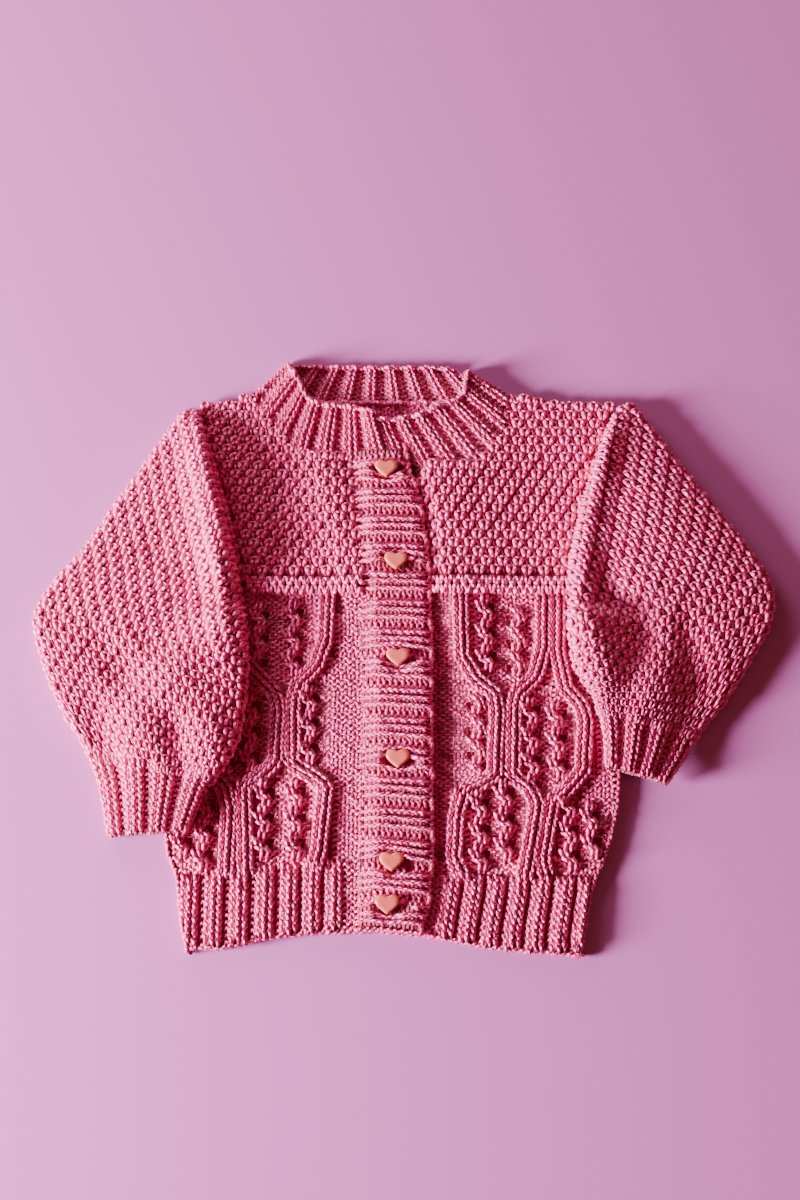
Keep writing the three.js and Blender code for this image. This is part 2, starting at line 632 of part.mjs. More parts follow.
// A heart-shaped button with a rounded edge, point towards the hem.
function button() {
  const size = (BUTTON_WIDTH / 2 - BUTTON_BEVEL) / HEART_HALF;
  const outline = [];
  for (let k = 0; k < HEART_STEPS; k += 1) {
    const turn = (2 * Math.PI * k) / HEART_STEPS;
    const height = HEART_WAVES.reduce((sum, wave, n) => sum + wave * Math.cos((n + 1) * turn), HEART_LIFT);
    outline.push(new THREE.Vector2(HEART_HALF * Math.sin(turn) ** 3 * size, height * size));
  }
  const geometry = new THREE.ExtrudeGeometry(new THREE.Shape(outline.reverse()), {
    depth: BUTTON_THICK - 2 * BUTTON_BEVEL,
    bevelThickness: BUTTON_BEVEL,
    bevelSize: BUTTON_BEVEL,
    bevelSegments: 2,
  });
  geometry.translate(0, 0, BUTTON_BEVEL);
  return geometry;
}

// Sleeves: flattened tubes gathered into ribbed cuffs, lying partly on the body.
const BALLOON_RINGS = 13;
const CUFF_RINGS = 4;
const GAP_EDGE = 0.5;
const GAP_ARMHOLE = 3.0;
const GAP_MIDDLE = 3.6;
const GAP_CUFF = 0.8;
const CUFF_RIBS = 4;
const CUFF_RISE = 1.4;
const PLATEAU = 6;
const RAMP_OUT = 34;
const RAMP_UP = 13;
const BOW_END = 0.4;
const GAP_GROWS = 0.3;
const GAP_NARROWS = 0.8;
const GAP_ROUND = 0.06;
const CUFF_FOOT = 0.34;
const CUFF_CREST = 0.2;
const CUFF_EDGE = 0.02;

// Height that a sleeve's under layer keeps over the body's side, falling to the surface beyond it.
function underHeight(part, x, y) {
  const beyond = part.side * (x - edgeAt(part, Math.min(y, UNDERARM_Y)));
  const sideways = Math.max(beyond - PLATEAU, 0) / RAMP_OUT;
  const upwards = Math.max(y - UNDERARM_Y - PLATEAU, 0) / RAMP_UP;
  return OVER_CABLES * (1 - smoothstep(Math.hypot(sideways, upwards), 0, 1));
}

// Half of a ring's thickness near its edges, as a share of the full one, so that the edges are round.
const rounded = (distance, radius) => Math.sqrt(1 - (1 - Math.min(distance / radius, 1)) ** 2);

// The edges of a sleeve at a share along it: 0 at the armhole, 1 where the cuff begins, 2 at its end.
function sleeveEdges(part, along) {
  const [balloon, cuff] = [Math.min(along, 1), Math.max(along - 1, 0)];
  const innerShare = lerp(part.innerCuff * balloon, 1, cuff);
  const outerShare = lerp(part.outerCuff * balloon, 1, cuff);
  return [part.innerAt(innerShare), part.outerAt(outerShare)];
}

// Where a point of a sleeve lies on the table. Its first ring follows the fold over the yoke above,
// and the armhole of the back below.
function sleevePlace(part, along, s, layer) {
  const [a, b] = sleeveEdges(part, along);
  const point = a.lerp(b, s);
  const bow = 1 - smoothstep(along, 0, BOW_END);
  if (bow > 0) {
    const [first, last] = sleeveEdges(part, 0);
    point.add(part.foldAt(s).sub(first.lerp(last, s)).multiplyScalar(bow));
  }
  if (along === 0 && layer < 0) {
    const shared = smoothstep(s, 0.01, ARMHOLE_START) * (1 - smoothstep(s, ARMHOLE_END, 1));
    point.x = lerp(point.x, armhole(part, s).x + part.side * SEAM * 2, shared);
  }
  return point;
}

// The air gap between a sleeve's two layers.
function sleeveGap(along, s) {
  const middle = lerp(GAP_ARMHOLE, GAP_MIDDLE, smoothstep(along, 0, GAP_GROWS));
  const narrowed = lerp(middle, GAP_CUFF, smoothstep(along, GAP_NARROWS, 1));
  return lerp(GAP_EDGE, narrowed, smoothstep(Math.min(s, 1 - s), 0, GAP_ROUND));
}

// One point of a sleeve's ring; layer is +1 for the upper cloth and -1 for the under cloth.
function sleevePoint(part, along, s, layer, skin, rise = 0) {
  const [a, b] = sleeveEdges(part, along);
  const length = a.distanceTo(b);
  const inner = skin === 'inner';
  const share = inner ? lerp(CLOTH / length, 1 - CLOTH / length, s) : s;
  const point = sleevePlace(part, along, share, layer);
  const gap = sleeveGap(along, share);
  const half = inner ? gap / 2 : gap / 2 + CLOTH;
  const turn = rounded(Math.min(s, 1 - s) * length, half);
  point.z = underHeight(part, point.x, point.y) + CLOTH + gap / 2 + (layer * half + rise) * turn;
  return point;
}

// A ring of a sleeve: the upper cloth from the inner edge to the outer edge, then the under cloth back.
function sleeveRing(part, along, skin, upper, lower) {
  const top = upper.map(({ s, rise = 0 }) => {
    return { point: sleevePoint(part, along, s, 1, skin, rise), at: s };
  });
  const bottom = lower.slice(1, -1).map(({ s }) => s).reverse();
  return [...top, ...bottom.map((s) => ({ point: sleevePoint(part, along, s, -1, skin), at: 2 - s }))];
}

// Shares across a cuff, with a raised rib of four points between each pair of plain furrows.
function cuffShares() {
  const shares = [{ s: 0 }, { s: CUFF_EDGE }];
  for (let k = 0; k < CUFF_RIBS; k += 1) {
    const middle = (k + 0.5) / CUFF_RIBS;
    const [foot, crest] = [CUFF_FOOT / CUFF_RIBS, CUFF_CREST / CUFF_RIBS];
    shares.push({ s: middle - foot }, { s: middle - crest, rise: CUFF_RISE });
    shares.push({ s: middle + crest, rise: CUFF_RISE }, { s: middle + foot });
  }
  return [...shares, { s: 1 - CUFF_EDGE }, { s: 1 }];
}

function sleeve(part) {
  const plain = ACROSS.map((s) => ({ s }));
  const coarse = ACROSS_INNER.map((s) => ({ s }));
  const ribbed = cuffShares();
  const outer = [];
  const inner = [];
  for (let k = 0; k <= BALLOON_RINGS; k += 1) {
    const along = k / BALLOON_RINGS;
    const last = k === BALLOON_RINGS;
    outer.push(sleeveRing(part, along, 'outer', last ? ribbed : plain, last ? coarse : plain));
    const within = k === 0 ? plain : coarse;
    inner.push(sleeveRing(part, along, 'inner', within, within));
  }
  for (let k = 1; k <= CUFF_RINGS; k += 1) {
    const along = 1 + k / CUFF_RINGS;
    outer.push(sleeveRing(part, along, 'outer', ribbed, coarse));
    inner.push(sleeveRing(part, along, 'inner', coarse, coarse));
  }
  return tube([...outer, ...inner.reverse()]);
}

// One named mesh.
function piece(name, geometry, material = YARN) {
  const mesh = new THREE.Mesh(geometry, material);
  mesh.name = name;
  return mesh;
}

const LEFT_NECKLINE = neckline(['left front', 'left front bend', 'left corner', 'left side', 'left top']);
const RIGHT_NECKLINE = neckline([
  'right front', 'right front bend', 'right corner', 'right side', 'right top',
]);

const cardigan = new THREE.Group();
cardigan.add(piece('back', back()));
const leftFront = front(LEFT, LEFT_CENTRE, LEFT_STRANDS, HEM_RIBS.left, LEFT_NECKLINE);
const rightFront = front(RIGHT, RIGHT_CENTRE, RIGHT_STRANDS, HEM_RIBS.right, RIGHT_NECKLINE);
cardigan.add(piece('front_left', leftFront));
cardigan.add(piece('front_right', rightFront));
cardigan.add(piece('sleeve_left', sleeve(LEFT)));
cardigan.add(piece('sleeve_right', sleeve(RIGHT)));
cardigan.add(piece('neckband', neckband()));
cardigan.add(piece('button_band', buttonBand()));
cardigan.add(piece('buttonhole_band', buttonholeBand()));
BUTTONS.forEach(({ x, y }, k) => {
  const mesh = piece(`button_${k + 1}`, button(), BUTTON);
  mesh.position.set(x, y, BAND_TOP + SEAM);
  cardigan.add(mesh);
});

// The origin is under the middle of the whole garment, on the surface it lies on.
const box = new THREE.Box3().setFromObject(cardigan);
const middle = box.getCenter(new THREE.Vector3());
cardigan.position.set(-middle.x, -middle.y, 0);
const garment = new THREE.Group();
garment.add(cardigan);

export default garment;
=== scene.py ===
"""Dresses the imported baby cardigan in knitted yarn, stitch by stitch, and lights it on a pale floor.

Patterns are laid out in millimetres in the maker's frame, whose origin is under the middle of the picture,
and moved into the garment's frame when their meshes are made.
"""

import logging
import math
from dataclasses import dataclass, field, replace
from enum import Enum
from typing import Protocol

import bmesh
import bpy
import numpy as np
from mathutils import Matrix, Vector


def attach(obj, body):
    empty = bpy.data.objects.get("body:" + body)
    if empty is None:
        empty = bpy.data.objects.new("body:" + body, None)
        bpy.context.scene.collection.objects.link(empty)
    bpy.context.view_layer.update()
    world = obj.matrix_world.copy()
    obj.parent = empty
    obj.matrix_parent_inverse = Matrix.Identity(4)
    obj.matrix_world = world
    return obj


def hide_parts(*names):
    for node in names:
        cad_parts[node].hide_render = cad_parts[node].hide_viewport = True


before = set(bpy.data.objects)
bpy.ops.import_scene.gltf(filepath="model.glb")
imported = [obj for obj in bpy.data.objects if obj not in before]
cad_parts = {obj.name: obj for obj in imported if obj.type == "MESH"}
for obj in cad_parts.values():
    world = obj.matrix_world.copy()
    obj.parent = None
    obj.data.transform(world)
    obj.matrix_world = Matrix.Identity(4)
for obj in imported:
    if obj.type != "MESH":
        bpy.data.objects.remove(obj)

LOG = logging.getLogger("cardigan")
Array = np.ndarray
MM = 0.001
SHIFT = np.array([-2.07, 23.66, 0.0])
RANDOM = np.random.default_rng(17)

# Cloth thickness and the heights of its layers, from the floor up
CLOTH = 2.4
SEAM = 0.3
FRONT_BASE = CLOTH + SEAM
FRONT_TOP = FRONT_BASE + CLOTH
BAND_BASE = FRONT_TOP + SEAM
BAND_TOP = BAND_BASE + CLOTH
OVER_CABLES = FRONT_TOP + 2.0 + SEAM
SUNK = 0.9

# Size of one stitch of the plain fabric, and of the stitches along an edge
STITCH_WIDE = 4.0
ROW_TALL = 3.0
RIB_COLUMN = 2.95
RIB_ROW = 2.95
EDGE_PITCH = 3.0
EDGE_WIDE = 0.62
HEM_PITCH = 3.2
HEM_WIDE = 0.7
# Height of the lowest point of cloth above the floor
CLEAR = 0.05
# What makes one stitch differ from the next: spread of its place, turn, size, height and bend
SPREAD = {"across": 0.09, "along": 0.11, "turn": 0.06, "bold": 0.07, "lift": 0.1, "bend": 0.03}
# The most by which the twist of one stitch is moved along its yarn, in millimetres
TWIST_SLIDE = 7.0
# Units of the layout in a millimetre of cloth, and how strongly its plain sides show their small stitches;
# its face, at 0, shows only painted shade
LAYOUT = 0.1
PLAIN_SIDE = 0.6

# How the stitches of each place differ from the plain ones; a lower lift also paints a stitch darker, as
# painted shade
RIB_KNIT = {"lift": 0.15, "wide": 0.78, "tall": 1.15}
RIB_PURL = {"lift": 0.05, "wide": 0.68, "tall": 1.0, "bold": 0.9}
CABLE_KNIT = {"lift": 0.15, "wide": 0.67, "tall": 1.14}
LACE_KNIT = {"wide": 0.95, "tall": 1.3, "bold": 1.35}
RIDGE_PURL = {"lift": 0.5, "wide": 1.08, "tall": 1.45, "bold": 1.5}
MOSS_KNIT = {"lift": -0.75, "wide": 0.8, "tall": 1.3}
LAST_MOSS = {"lift": -0.35, "wide": 0.95, "tall": 0.85}
BAND_KNIT = {"lift": 0.2, "wide": 0.58, "tall": 1.3, "bold": 1.15}
BAND_PURL = {"lift": -0.3, "wide": 0.85, "tall": 1.05, "bold": 0.8}
NECK_RIM = {"lift": 0.7, "turn": 1.57, "bold": 1.2}
NECK_FOOT = {"lift": 1.1, "wide": 1.1, "turn": 1.57, "bold": 1.2}


def smooth(value: Array, low: float, high: float) -> Array:
    """Gives a soft step from 0 at low to 1 at high."""
    share = np.clip((np.asarray(value, float) - low) / (high - low), 0.0, 1.0)
    return share * share * (3.0 - 2.0 * share)


def rounded(distance: Array, half: float) -> Array:
    """Gives 1 on the crest of a rounded rib, falling to 0 at half its pitch."""
    share = np.clip(np.abs(distance) / half, 0.0, 1.0)
    return (0.5 + 0.5 * np.cos(np.pi * share)) ** 0.5


def look_up(table: list[tuple[float, float]], at: Array) -> Array:
    """Reads a table of rising pairs in straight steps.

    Args:
        table: Pairs of place and value, with the places rising.
        at: Places to read.

    Returns:
        The values at those places.
    """
    places, values = zip(*table)
    return np.interp(at, places, values)


def reach_along(points: Array) -> Array:
    """Gives the way along a line of points up to each of them."""
    return np.concatenate([[0.0], np.cumsum(np.linalg.norm(np.diff(points, axis=0), axis=1))])


def read_line(at: Array, places: Array, line: Array) -> Array:
    """Gives the points of a line, stored by their places along it, at other places."""
    return np.stack([np.interp(at, places, column) for column in line.T], axis=-1)


def unit(vectors: Array) -> Array:
    """Gives vectors of length 1 in the same directions."""
    return vectors / np.maximum(np.linalg.norm(vectors, axis=-1, keepdims=True), 1e-9)


def direction(step: Array) -> Array:
    """Gives a vector of length 1 along one step of a line, however short the step is."""
    return step / np.linalg.norm(step)


class Route:
    """A smooth line through points, read by its share of length."""

    def __init__(self, points: list[tuple[float, ...]], steps: int = 24) -> None:
        """Fits the line.

        Args:
            points: Points that the line passes through.
            steps: Straight steps between two points.
        """
        given = np.array(points, float)
        before = 2.0 * given[0] - given[1]
        after = 2.0 * given[-1] - given[-2]
        padded = np.vstack([before, given, after])
        pieces = [self._piece(padded[k : k + 4], steps) for k in range(len(given) - 1)]
        self.dense = np.vstack([*pieces, given[-1:]])
        reach = reach_along(self.dense)
        self.length = float(np.linalg.norm(np.diff(self.dense, axis=0), axis=1).sum())
        self.share = reach / self.length

    @staticmethod
    def _piece(four: Array, steps: int) -> Array:
        """Gives the points of one stretch between the middle two of four points.

        Args:
            four: The points, in order.
            steps: How many points to make.

        Returns:
            The points of the stretch.
        """
        gaps = np.maximum(np.linalg.norm(np.diff(four, axis=0), axis=1) ** 0.5, 1e-6)
        ahead = (four[1] - four[0]) / gaps[0] - (four[2] - four[0]) / (gaps[0] + gaps[1])
        start = (ahead + (four[2] - four[1]) / gaps[1]) * gaps[1]
        behind = (four[2] - four[1]) / gaps[1] - (four[3] - four[1]) / (gaps[1] + gaps[2])
        end = (behind + (four[3] - four[2]) / gaps[2]) * gaps[1]
        t = np.linspace(0.0, 1.0, steps, endpoint=False)[:, None]
        cubic = 2.0 * four[1] - 2.0 * four[2] + start + end
        square = -3.0 * four[1] + 3.0 * four[2] - 2.0 * start - end
        return ((cubic * t + square) * t + start) * t + four[1]

    def at(self, share: Array) -> Array:
        """Gives the points at shares of the length."""
        return read_line(share, self.share, self.dense)


class Surface(Protocol):
    """A face of the cloth that stitches are laid on."""

    def place(self, across: Array, along: Array) -> Array:
        """Gives points in millimetres for places across the columns and along them."""


def facing(surface: Surface, across: Array, along: Array) -> Array:
    """Gives the outward directions of a surface, from its points close by.

    Args:
        surface: The face of the cloth.
        across: Places across the columns, in millimetres.
        along: Places along the columns, in millimetres.

    Returns:
        One unit vector for each place.
    """
    step = 0.35
    sideways = surface.place(across + step, along) - surface.place(across - step, along)
    upwards = surface.place(across, along + step) - surface.place(across, along - step)
    return unit(np.cross(sideways, upwards))


@dataclass
class MeshData:
    """Points and faces of a mesh on their way to Blender, with what its material reads."""

    vertices: Array
    quads: Array
    triangles: Array
    layout: Array
    # rise carries the heights that the finishes turn into painted shade; shade is each stitch's own random
    # tone
    rise: Array
    shade: Array

    @staticmethod
    def join(parts: list["MeshData"]) -> "MeshData":
        """Puts several meshes together as one.

        Args:
            parts: The meshes.

        Returns:
            One mesh with all of them.
        """
        starts = np.cumsum([0] + [len(part.vertices) for part in parts[:-1]])
        return MeshData(
            np.vstack([part.vertices for part in parts]),
            np.vstack([part.quads + start for part, start in zip(parts, starts)]),
            np.vstack([part.triangles + start for part, start in zip(parts, starts)]),
            np.vstack([part.layout for part in parts]),
            np.concatenate([part.rise for part in parts]),
            np.concatenate([part.shade for part in parts]),
        )

    def build(self, name: str) -> bpy.types.Object:
        """Makes the Blender object, in metres in the garment's frame.

        Args:
            name: Name of the piece.

        Returns:
            The new object, linked to the scene.
        """
        mesh = bpy.data.meshes.new(name)
        places = ((self.vertices + SHIFT) * MM).astype(np.float32)
        places[:, 2] = np.maximum(places[:, 2], 0.0)
        loops = np.concatenate([self.quads.ravel(), self.triangles.ravel()]).astype(np.int32)
        quad_starts = np.arange(len(self.quads)) * 4
        triangle_starts = len(self.quads) * 4 + np.arange(len(self.triangles)) * 3
        starts = np.concatenate([quad_starts, triangle_starts]).astype(np.int32)
        mesh.vertices.add(len(places))
        mesh.vertices.foreach_set("co", places.ravel())
        mesh.loops.add(len(loops))
        mesh.loops.foreach_set("vertex_index", loops)
        mesh.polygons.add(len(starts))
        mesh.polygons.foreach_set("loop_start", starts)
        mesh.polygons.foreach_set("use_smooth", np.ones(len(starts), bool))
        mesh.update(calc_edges=True)
        uv = mesh.uv_layers.new(name="UVMap")
        uv.data.foreach_set("uv", self.layout[loops].astype(np.float32).ravel())
        for title, values in (("rise", self.rise), ("shade", self.shade)):
            attribute = mesh.attributes.new(title, "FLOAT", "POINT")
            attribute.data.foreach_set("value", values.astype(np.float32))
        mesh.validate()
        piece = bpy.data.objects.new(name, mesh)
        bpy.context.scene.collection.objects.link(piece)
        return piece


# Stitches.


class Kind(Enum):
    """The stitches that the garment is knitted from."""

    KNIT = "knit"
    PURL = "purl"
    MOSS = "moss"
    CAST_OFF = "cast off"
    BAR = "bar"


def strand(path: list[tuple[float, float, float]], radii: list[float], sides: int = 5) -> MeshData:
    """Makes a short closed length of yarn along a path.

    Args:
        path: Points across the column, along it and out of the cloth; the first and last are the tips.
        radii: Yarn radius at each point between the tips.
        sides: Corners of the yarn's section.

    Returns:
        The yarn's mesh, with its length along the yarn in the layout.
    """
    points = np.array(path, float)
    lengths = reach_along(points)
    vertices = [points[0]]
    layout = [(0.5, 0.0)]
    angles = -math.pi / 2 + 2.0 * math.pi * (np.arange(sides) + 0.5) / sides
    for k, radius in enumerate(radii, start=1):
        ahead = points[k + 1] - points[k - 1]
        side = unit(np.cross(ahead, (0.0, 0.0, 1.0)))
        out = unit(np.cross(side, ahead))
        for corner, angle in enumerate(angles):
            vertices.append(points[k] + radius * (math.cos(angle) * side + math.sin(angle) * out))
            layout.append((corner / sides, lengths[k]))
    vertices.append(points[-1])
    layout.append((0.5, lengths[-1]))
    quads = []
    rings = len(radii)
    for ring in range(rings - 1):
        for corner in range(sides):
            a = 1 + ring * sides + corner
            b = 1 + ring * sides + (corner + 1) % sides
            quads.append((a, b, b + sides, a + sides))
    last = len(vertices) - 1
    final = 1 + (rings - 1) * sides
    triangles = []
    for corner in range(sides):
        triangles.append((0, 1 + (corner + 1) % sides, 1 + corner))
        triangles.append((last, final + corner, final + (corner + 1) % sides))
    flat = np.array(vertices)
    # Each point's height, which the yarn's finish turns into painted shade where it is low
    rise = flat[:, 2].copy()
    return MeshData(flat, np.array(quads), np.array(triangles), np.array(layout), rise, np.zeros(len(flat)))


def scaled(part: MeshData, across: float, along: float, slide: tuple[float, float]) -> MeshData:
    """Gives the mirror image of a length of yarn, with its faces still outwards.

    Args:
        part: The length of yarn.
        across: -1 to mirror it across the column, else 1.
        along: -1 to mirror it along the column, else 1.
        slide: What is added to its layout, so that its twist differs.

    Returns:
        The mirrored copy.
    """
    vertices = part.vertices * np.array([across, along, 1.0])
    layout = part.layout + np.array(slide)
    return MeshData(vertices, part.quads[:, ::-1], part.triangles[:, ::-1], layout, part.rise, part.shade)


def mirrored(part: MeshData) -> MeshData:
    """Gives the mirror image of a length of yarn across the column."""
    return scaled(part, -1.0, 1.0, (0.37, 1.3))


def moved(part: MeshData, offset: tuple[float, float, float]) -> MeshData:
    """Gives a copy of a length of yarn at another place."""
    return replace(part, vertices=part.vertices + np.array(offset))


def stitch_shapes() -> dict[Kind, MeshData]:
    """Models each stitch once, in millimetres: x across the column, y up it and z out of the cloth.

    Returns:
        The shape of each stitch.
    """
    high_leg = strand(
        [
            (0.95, -2.3, -0.9), (0.65, -1.35, 0.05), (0.0, -0.1, 0.8), (-0.75, 1.15, 0.9),
            (-1.3, 2.15, 0.35), (-1.55, 2.9, -0.7),
        ],
        [0.68, 0.92, 0.94, 0.72],
    )
    low_leg = strand(
        [
            (0.3, -1.9, -0.9), (0.6, -1.0, -0.35), (1.0, 0.15, 0.2), (1.35, 1.25, 0.25),
            (1.6, 2.15, -0.15), (1.7, 2.8, -0.9),
        ],
        [0.55, 0.7, 0.7, 0.55],
    )
    knit = MeshData.join([high_leg, low_leg])
    head = strand(
        [
            (-2.1, -0.9, -0.7), (-1.7, -0.25, 0.1), (-0.8, 0.72, 0.6), (0.8, 0.72, 0.6),
            (1.7, -0.25, 0.1), (2.1, -0.9, -0.7),
        ],
        [0.66, 0.84, 0.84, 0.66],
    )
    foot = scaled(head, 1.0, -1.0, (0.0, 0.0))
    purl = MeshData.join([head, moved(foot, (STITCH_WIDE / 2, -0.15, -0.1))])
    arm = strand(
        [
            (-0.3, -4.0, -0.9), (-0.5, -2.9, 0.15), (-1.1, -1.1, 1.0), (-1.6, 0.6, 1.15),
            (-1.85, 2.0, 0.5), (-1.6, 2.9, -0.6),
        ],
        [0.85, 1.2, 1.25, 0.9],
    )
    cap = strand(
        [
            (-3.1, -0.2, -0.8), (-2.35, 1.0, 0.15), (-0.9, 2.1, 0.85), (0.9, 2.1, 0.85),
            (2.35, 1.0, 0.15), (3.1, -0.2, -0.8),
        ],
        [0.8, 0.95, 0.95, 0.8],
    )
    moss = MeshData.join([arm, mirrored(arm), cap])
    chain = strand(
        [(-1.0, -2.5, -0.7), (-0.8, -1.3, 0.3), (-0.1, 0.4, 0.8), (0.65, 1.9, 0.5), (0.9, 3.0, -0.5)],
        [0.85, 1.2, 0.9],
    )
    edge = MeshData.join([chain, moved(mirrored(chain), (0.3, 0.9, -0.35))])
    bar = strand(
        [(0.0, -2.6, -0.2), (0.0, -1.4, 0.0), (0.0, 0.0, 0.1), (0.0, 1.4, 0.0), (0.0, 2.6, -0.2)],
        [0.7, 0.8, 0.7],
    )
    return {Kind.KNIT: knit, Kind.PURL: purl, Kind.MOSS: moss, Kind.CAST_OFF: edge, Kind.BAR: bar}


SHAPES = stitch_shapes()


@dataclass
class Weave:
    """Collects the stitches of one piece and makes them one mesh."""

    surface: Surface
    sunk: float = SUNK
    uneven: float = 1.0
    rows: dict[Kind, list[tuple[float, ...]]] = field(default_factory=dict)

    def add(
        self,
        kind: Kind,
        across: float,
        along: float,
        lift: float = 0.0,
        wide: float = 1.0,
        tall: float = 1.0,
        turn: float = 0.0,
        bold: float = 1.0,
    ) -> None:
        """Lays one stitch.

        Args:
            kind: Which stitch.
            across: Place across the columns, in millimetres.
            along: Place along the columns, in millimetres.
            lift: How far it stands above its usual height; a lower lift also paints it darker, as painted
                shade.
            wide: Size across the column, as a share of the plain stitch.
            tall: Size along the column.
            turn: Turn on the cloth, in radians to the left.
            bold: Size out of the cloth.
        """
        self.rows.setdefault(kind, []).append((across, along, lift, wide, tall, turn, bold))

    def data(self) -> MeshData:
        """Gives the mesh of all the stitches laid so far."""
        parts = [self._spread(kind, np.array(rows)) for kind, rows in self.rows.items()]
        return MeshData.join(parts)

    def _stray(self, what: str, count: int) -> Array:
        """Gives how far each stitch strays from its plain form in one respect."""
        return self.uneven * RANDOM.normal(0.0, SPREAD[what], count)

    def _spread(self, kind: Kind, rows: Array) -> MeshData:
        """Copies one stitch to all its places on the surface.

        Args:
            kind: Which stitch.
            rows: One row of numbers for each stitch, as add takes them.

        Returns:
            The joined mesh.
        """
        shape = SHAPES[kind]
        count, size = len(rows), len(shape.vertices)
        across, along, lift, wide, tall, turn, bold = rows.T
        across = across + self._stray("across", count)
        along = along + self._stray("along", count)
        turn = turn + self._stray("turn", count)
        bold = bold * (1.0 + self._stray("bold", count))
        lift = lift + self._stray("lift", count)
        x = shape.vertices[:, 0][None, :] * wide[:, None]
        y = shape.vertices[:, 1][None, :] * tall[:, None]
        z = shape.vertices[:, 2][None, :] * bold[:, None] + lift[:, None]
        x = x + self._stray("bend", count)[:, None] * y * y * 0.4
        cosine, sine = np.cos(turn)[:, None], np.sin(turn)[:, None]
        flat_x = (x * cosine - y * sine + across[:, None]).ravel()
        flat_y = (x * sine + y * cosine + along[:, None]).ravel()
        points = self.surface.place(flat_x, flat_y)
        out = facing(self.surface, flat_x, flat_y)
        points = points + out * (z.ravel() - self.sunk)[:, None]
        offsets = (np.arange(count) * size)[:, None, None]
        # Painted shade: a point's height within its stitch, scaled down further for stitches with a lower
        # lift, sets how deep red the yarn is painted
        low, high = float(shape.rise.min()), float(shape.rise.max())
        depth = np.repeat(np.clip(1.0 + 0.4 * lift, 0.45, 1.0), size)
        rise = np.tile((shape.rise - low) / (high - low), count) * depth
        shade = np.repeat(RANDOM.random(count), size)
        slide = np.repeat(RANDOM.random(count) * TWIST_SLIDE, size)
        layout = np.tile(shape.layout, (count, 1)) + np.stack([slide * 0, slide], axis=1)
        return MeshData(
            points,
            (shape.quads[None] + offsets).reshape(-1, 4),
            (shape.triangles[None] + offsets).reshape(-1, 3),
            layout,
            rise,
            shade,
        )


@dataclass
class Ribbon:
    """A narrow strip along a line, for the edges of the cloth."""

    line: Array
    width: Array

    def __post_init__(self) -> None:
        """Measures the line."""
        self.reach = reach_along(self.line)
        self.length = float(self.reach[-1])

    def place(self, across: Array, along: Array) -> Array:
        """Gives points beside the line, past its ends in its own direction.

        Args:
            across: Places across the strip.
            along: Places along it.

        Returns:
            Points in millimetres.
        """
        inside = np.clip(along, 0.0, self.length)
        centre = read_line(inside, self.reach, self.line)
        wide = read_line(inside, self.reach, self.width)
        start, end = direction(self.line[1] - self.line[0]), direction(self.line[-1] - self.line[-2])
        before = np.minimum(along, 0.0)[:, None] * start
        after = np.maximum(along - self.length, 0.0)[:, None] * end
        return centre + wide * across[:, None] + before + after

    def chain(self, kind: Kind, pitch: float, wide: float, tall: float = 1.0, sunk: float = 0.5) -> MeshData:
        """Lays one column of stitches along the strip.

        Args:
            kind: Which stitch.
            pitch: Distance from stitch to stitch.
            wide: Size across the strip, as a share of the plain stitch.
            tall: Size along it.
            sunk: How far the yarn sits in the edge.

        Returns:
            The mesh of the column.
        """
        weave = Weave(self, sunk=sunk, uneven=0.8)
        count = max(int(self.length / pitch), 1)
        for k in range(count + 1):
            weave.add(kind, 0.0, self.length * k / count, wide=wide, tall=tall)
        return weave.data()


def upright(line: Array, height: float) -> Ribbon:
    """Gives a strip that stands on its edge along a line, at one height.

    Args:
        line: Points of the line, x and y, with the garment on their left.
        height: Height of the strip's middle.

    Returns:
        The strip, facing away from the garment.
    """
    middle = np.column_stack([line[:, 0], line[:, 1], np.full(len(line), height)])
    return Ribbon(middle, np.tile(np.array([0.0, 0.0, -1.0]), (len(line), 1)))


def edge_chain(line: Array, height: float) -> MeshData:
    """Lays the row of stitches that covers the cloth's thickness along a line, at one height."""
    return upright(line, height).chain(Kind.KNIT, EDGE_PITCH, EDGE_WIDE)


def hem_chain(ends: list[float], steps: int, above: float, height: float) -> MeshData:
    """Lays the row of stitches along a piece's hem.

    Args:
        ends: Places across of its two ends, the left one first.
        steps: Points of its line.
        above: How far it runs inside the hem's line.
        height: Its height.

    Returns:
        The mesh of the row.
    """
    line = np.array([(x, float(look_up(HEM, x)) + above) for x in np.linspace(*ends, steps)])
    return upright(line, height).chain(Kind.KNIT, HEM_PITCH, HEM_WIDE)


# Outline of the body, from the maker's tables.

HEM = [
    (-99, -172), (-84, -172), (-61, -167), (-43, -165), (-10, -164), (19, -167), (38, -171), (57, -173),
    (83, -175),
]
RIB_TOP = [(-110, -143), (-70, -136), (-28, -134), (20, -140), (105, -143)]
RIDGE_LOW = 2.0
RIDGE_HIGH = 9.5
UNDERARM_Y = -22.0
LEFT_CENTRE = [(-175, -18), (-126, -16.5), (-53, -15.5), (19, -18.5), (76, -22)]
RIGHT_CENTRE = [(-175, 14), (-126, 15), (-22, 15), (41, 12), (72, 6)]
BAND_EDGE = [(-166, 9), (-150, 14), (-126, 16), (-22, 16), (19, 15), (50, 11), (74, 4)]


@dataclass(frozen=True)
class Half:
    """Outline of one half of the garment; side is -1 on the picture's left."""

    side: int
    shoulder: tuple[float, float]
    fold: list[tuple[float, float]]
    edge: list[tuple[float, float]]
    outer: list[tuple[float, float]]
    inner: list[tuple[float, float]]

    def side_at(self, along: Array) -> Array:
        """Gives the side edge of the body at heights of the picture."""
        return look_up(self.edge, along)


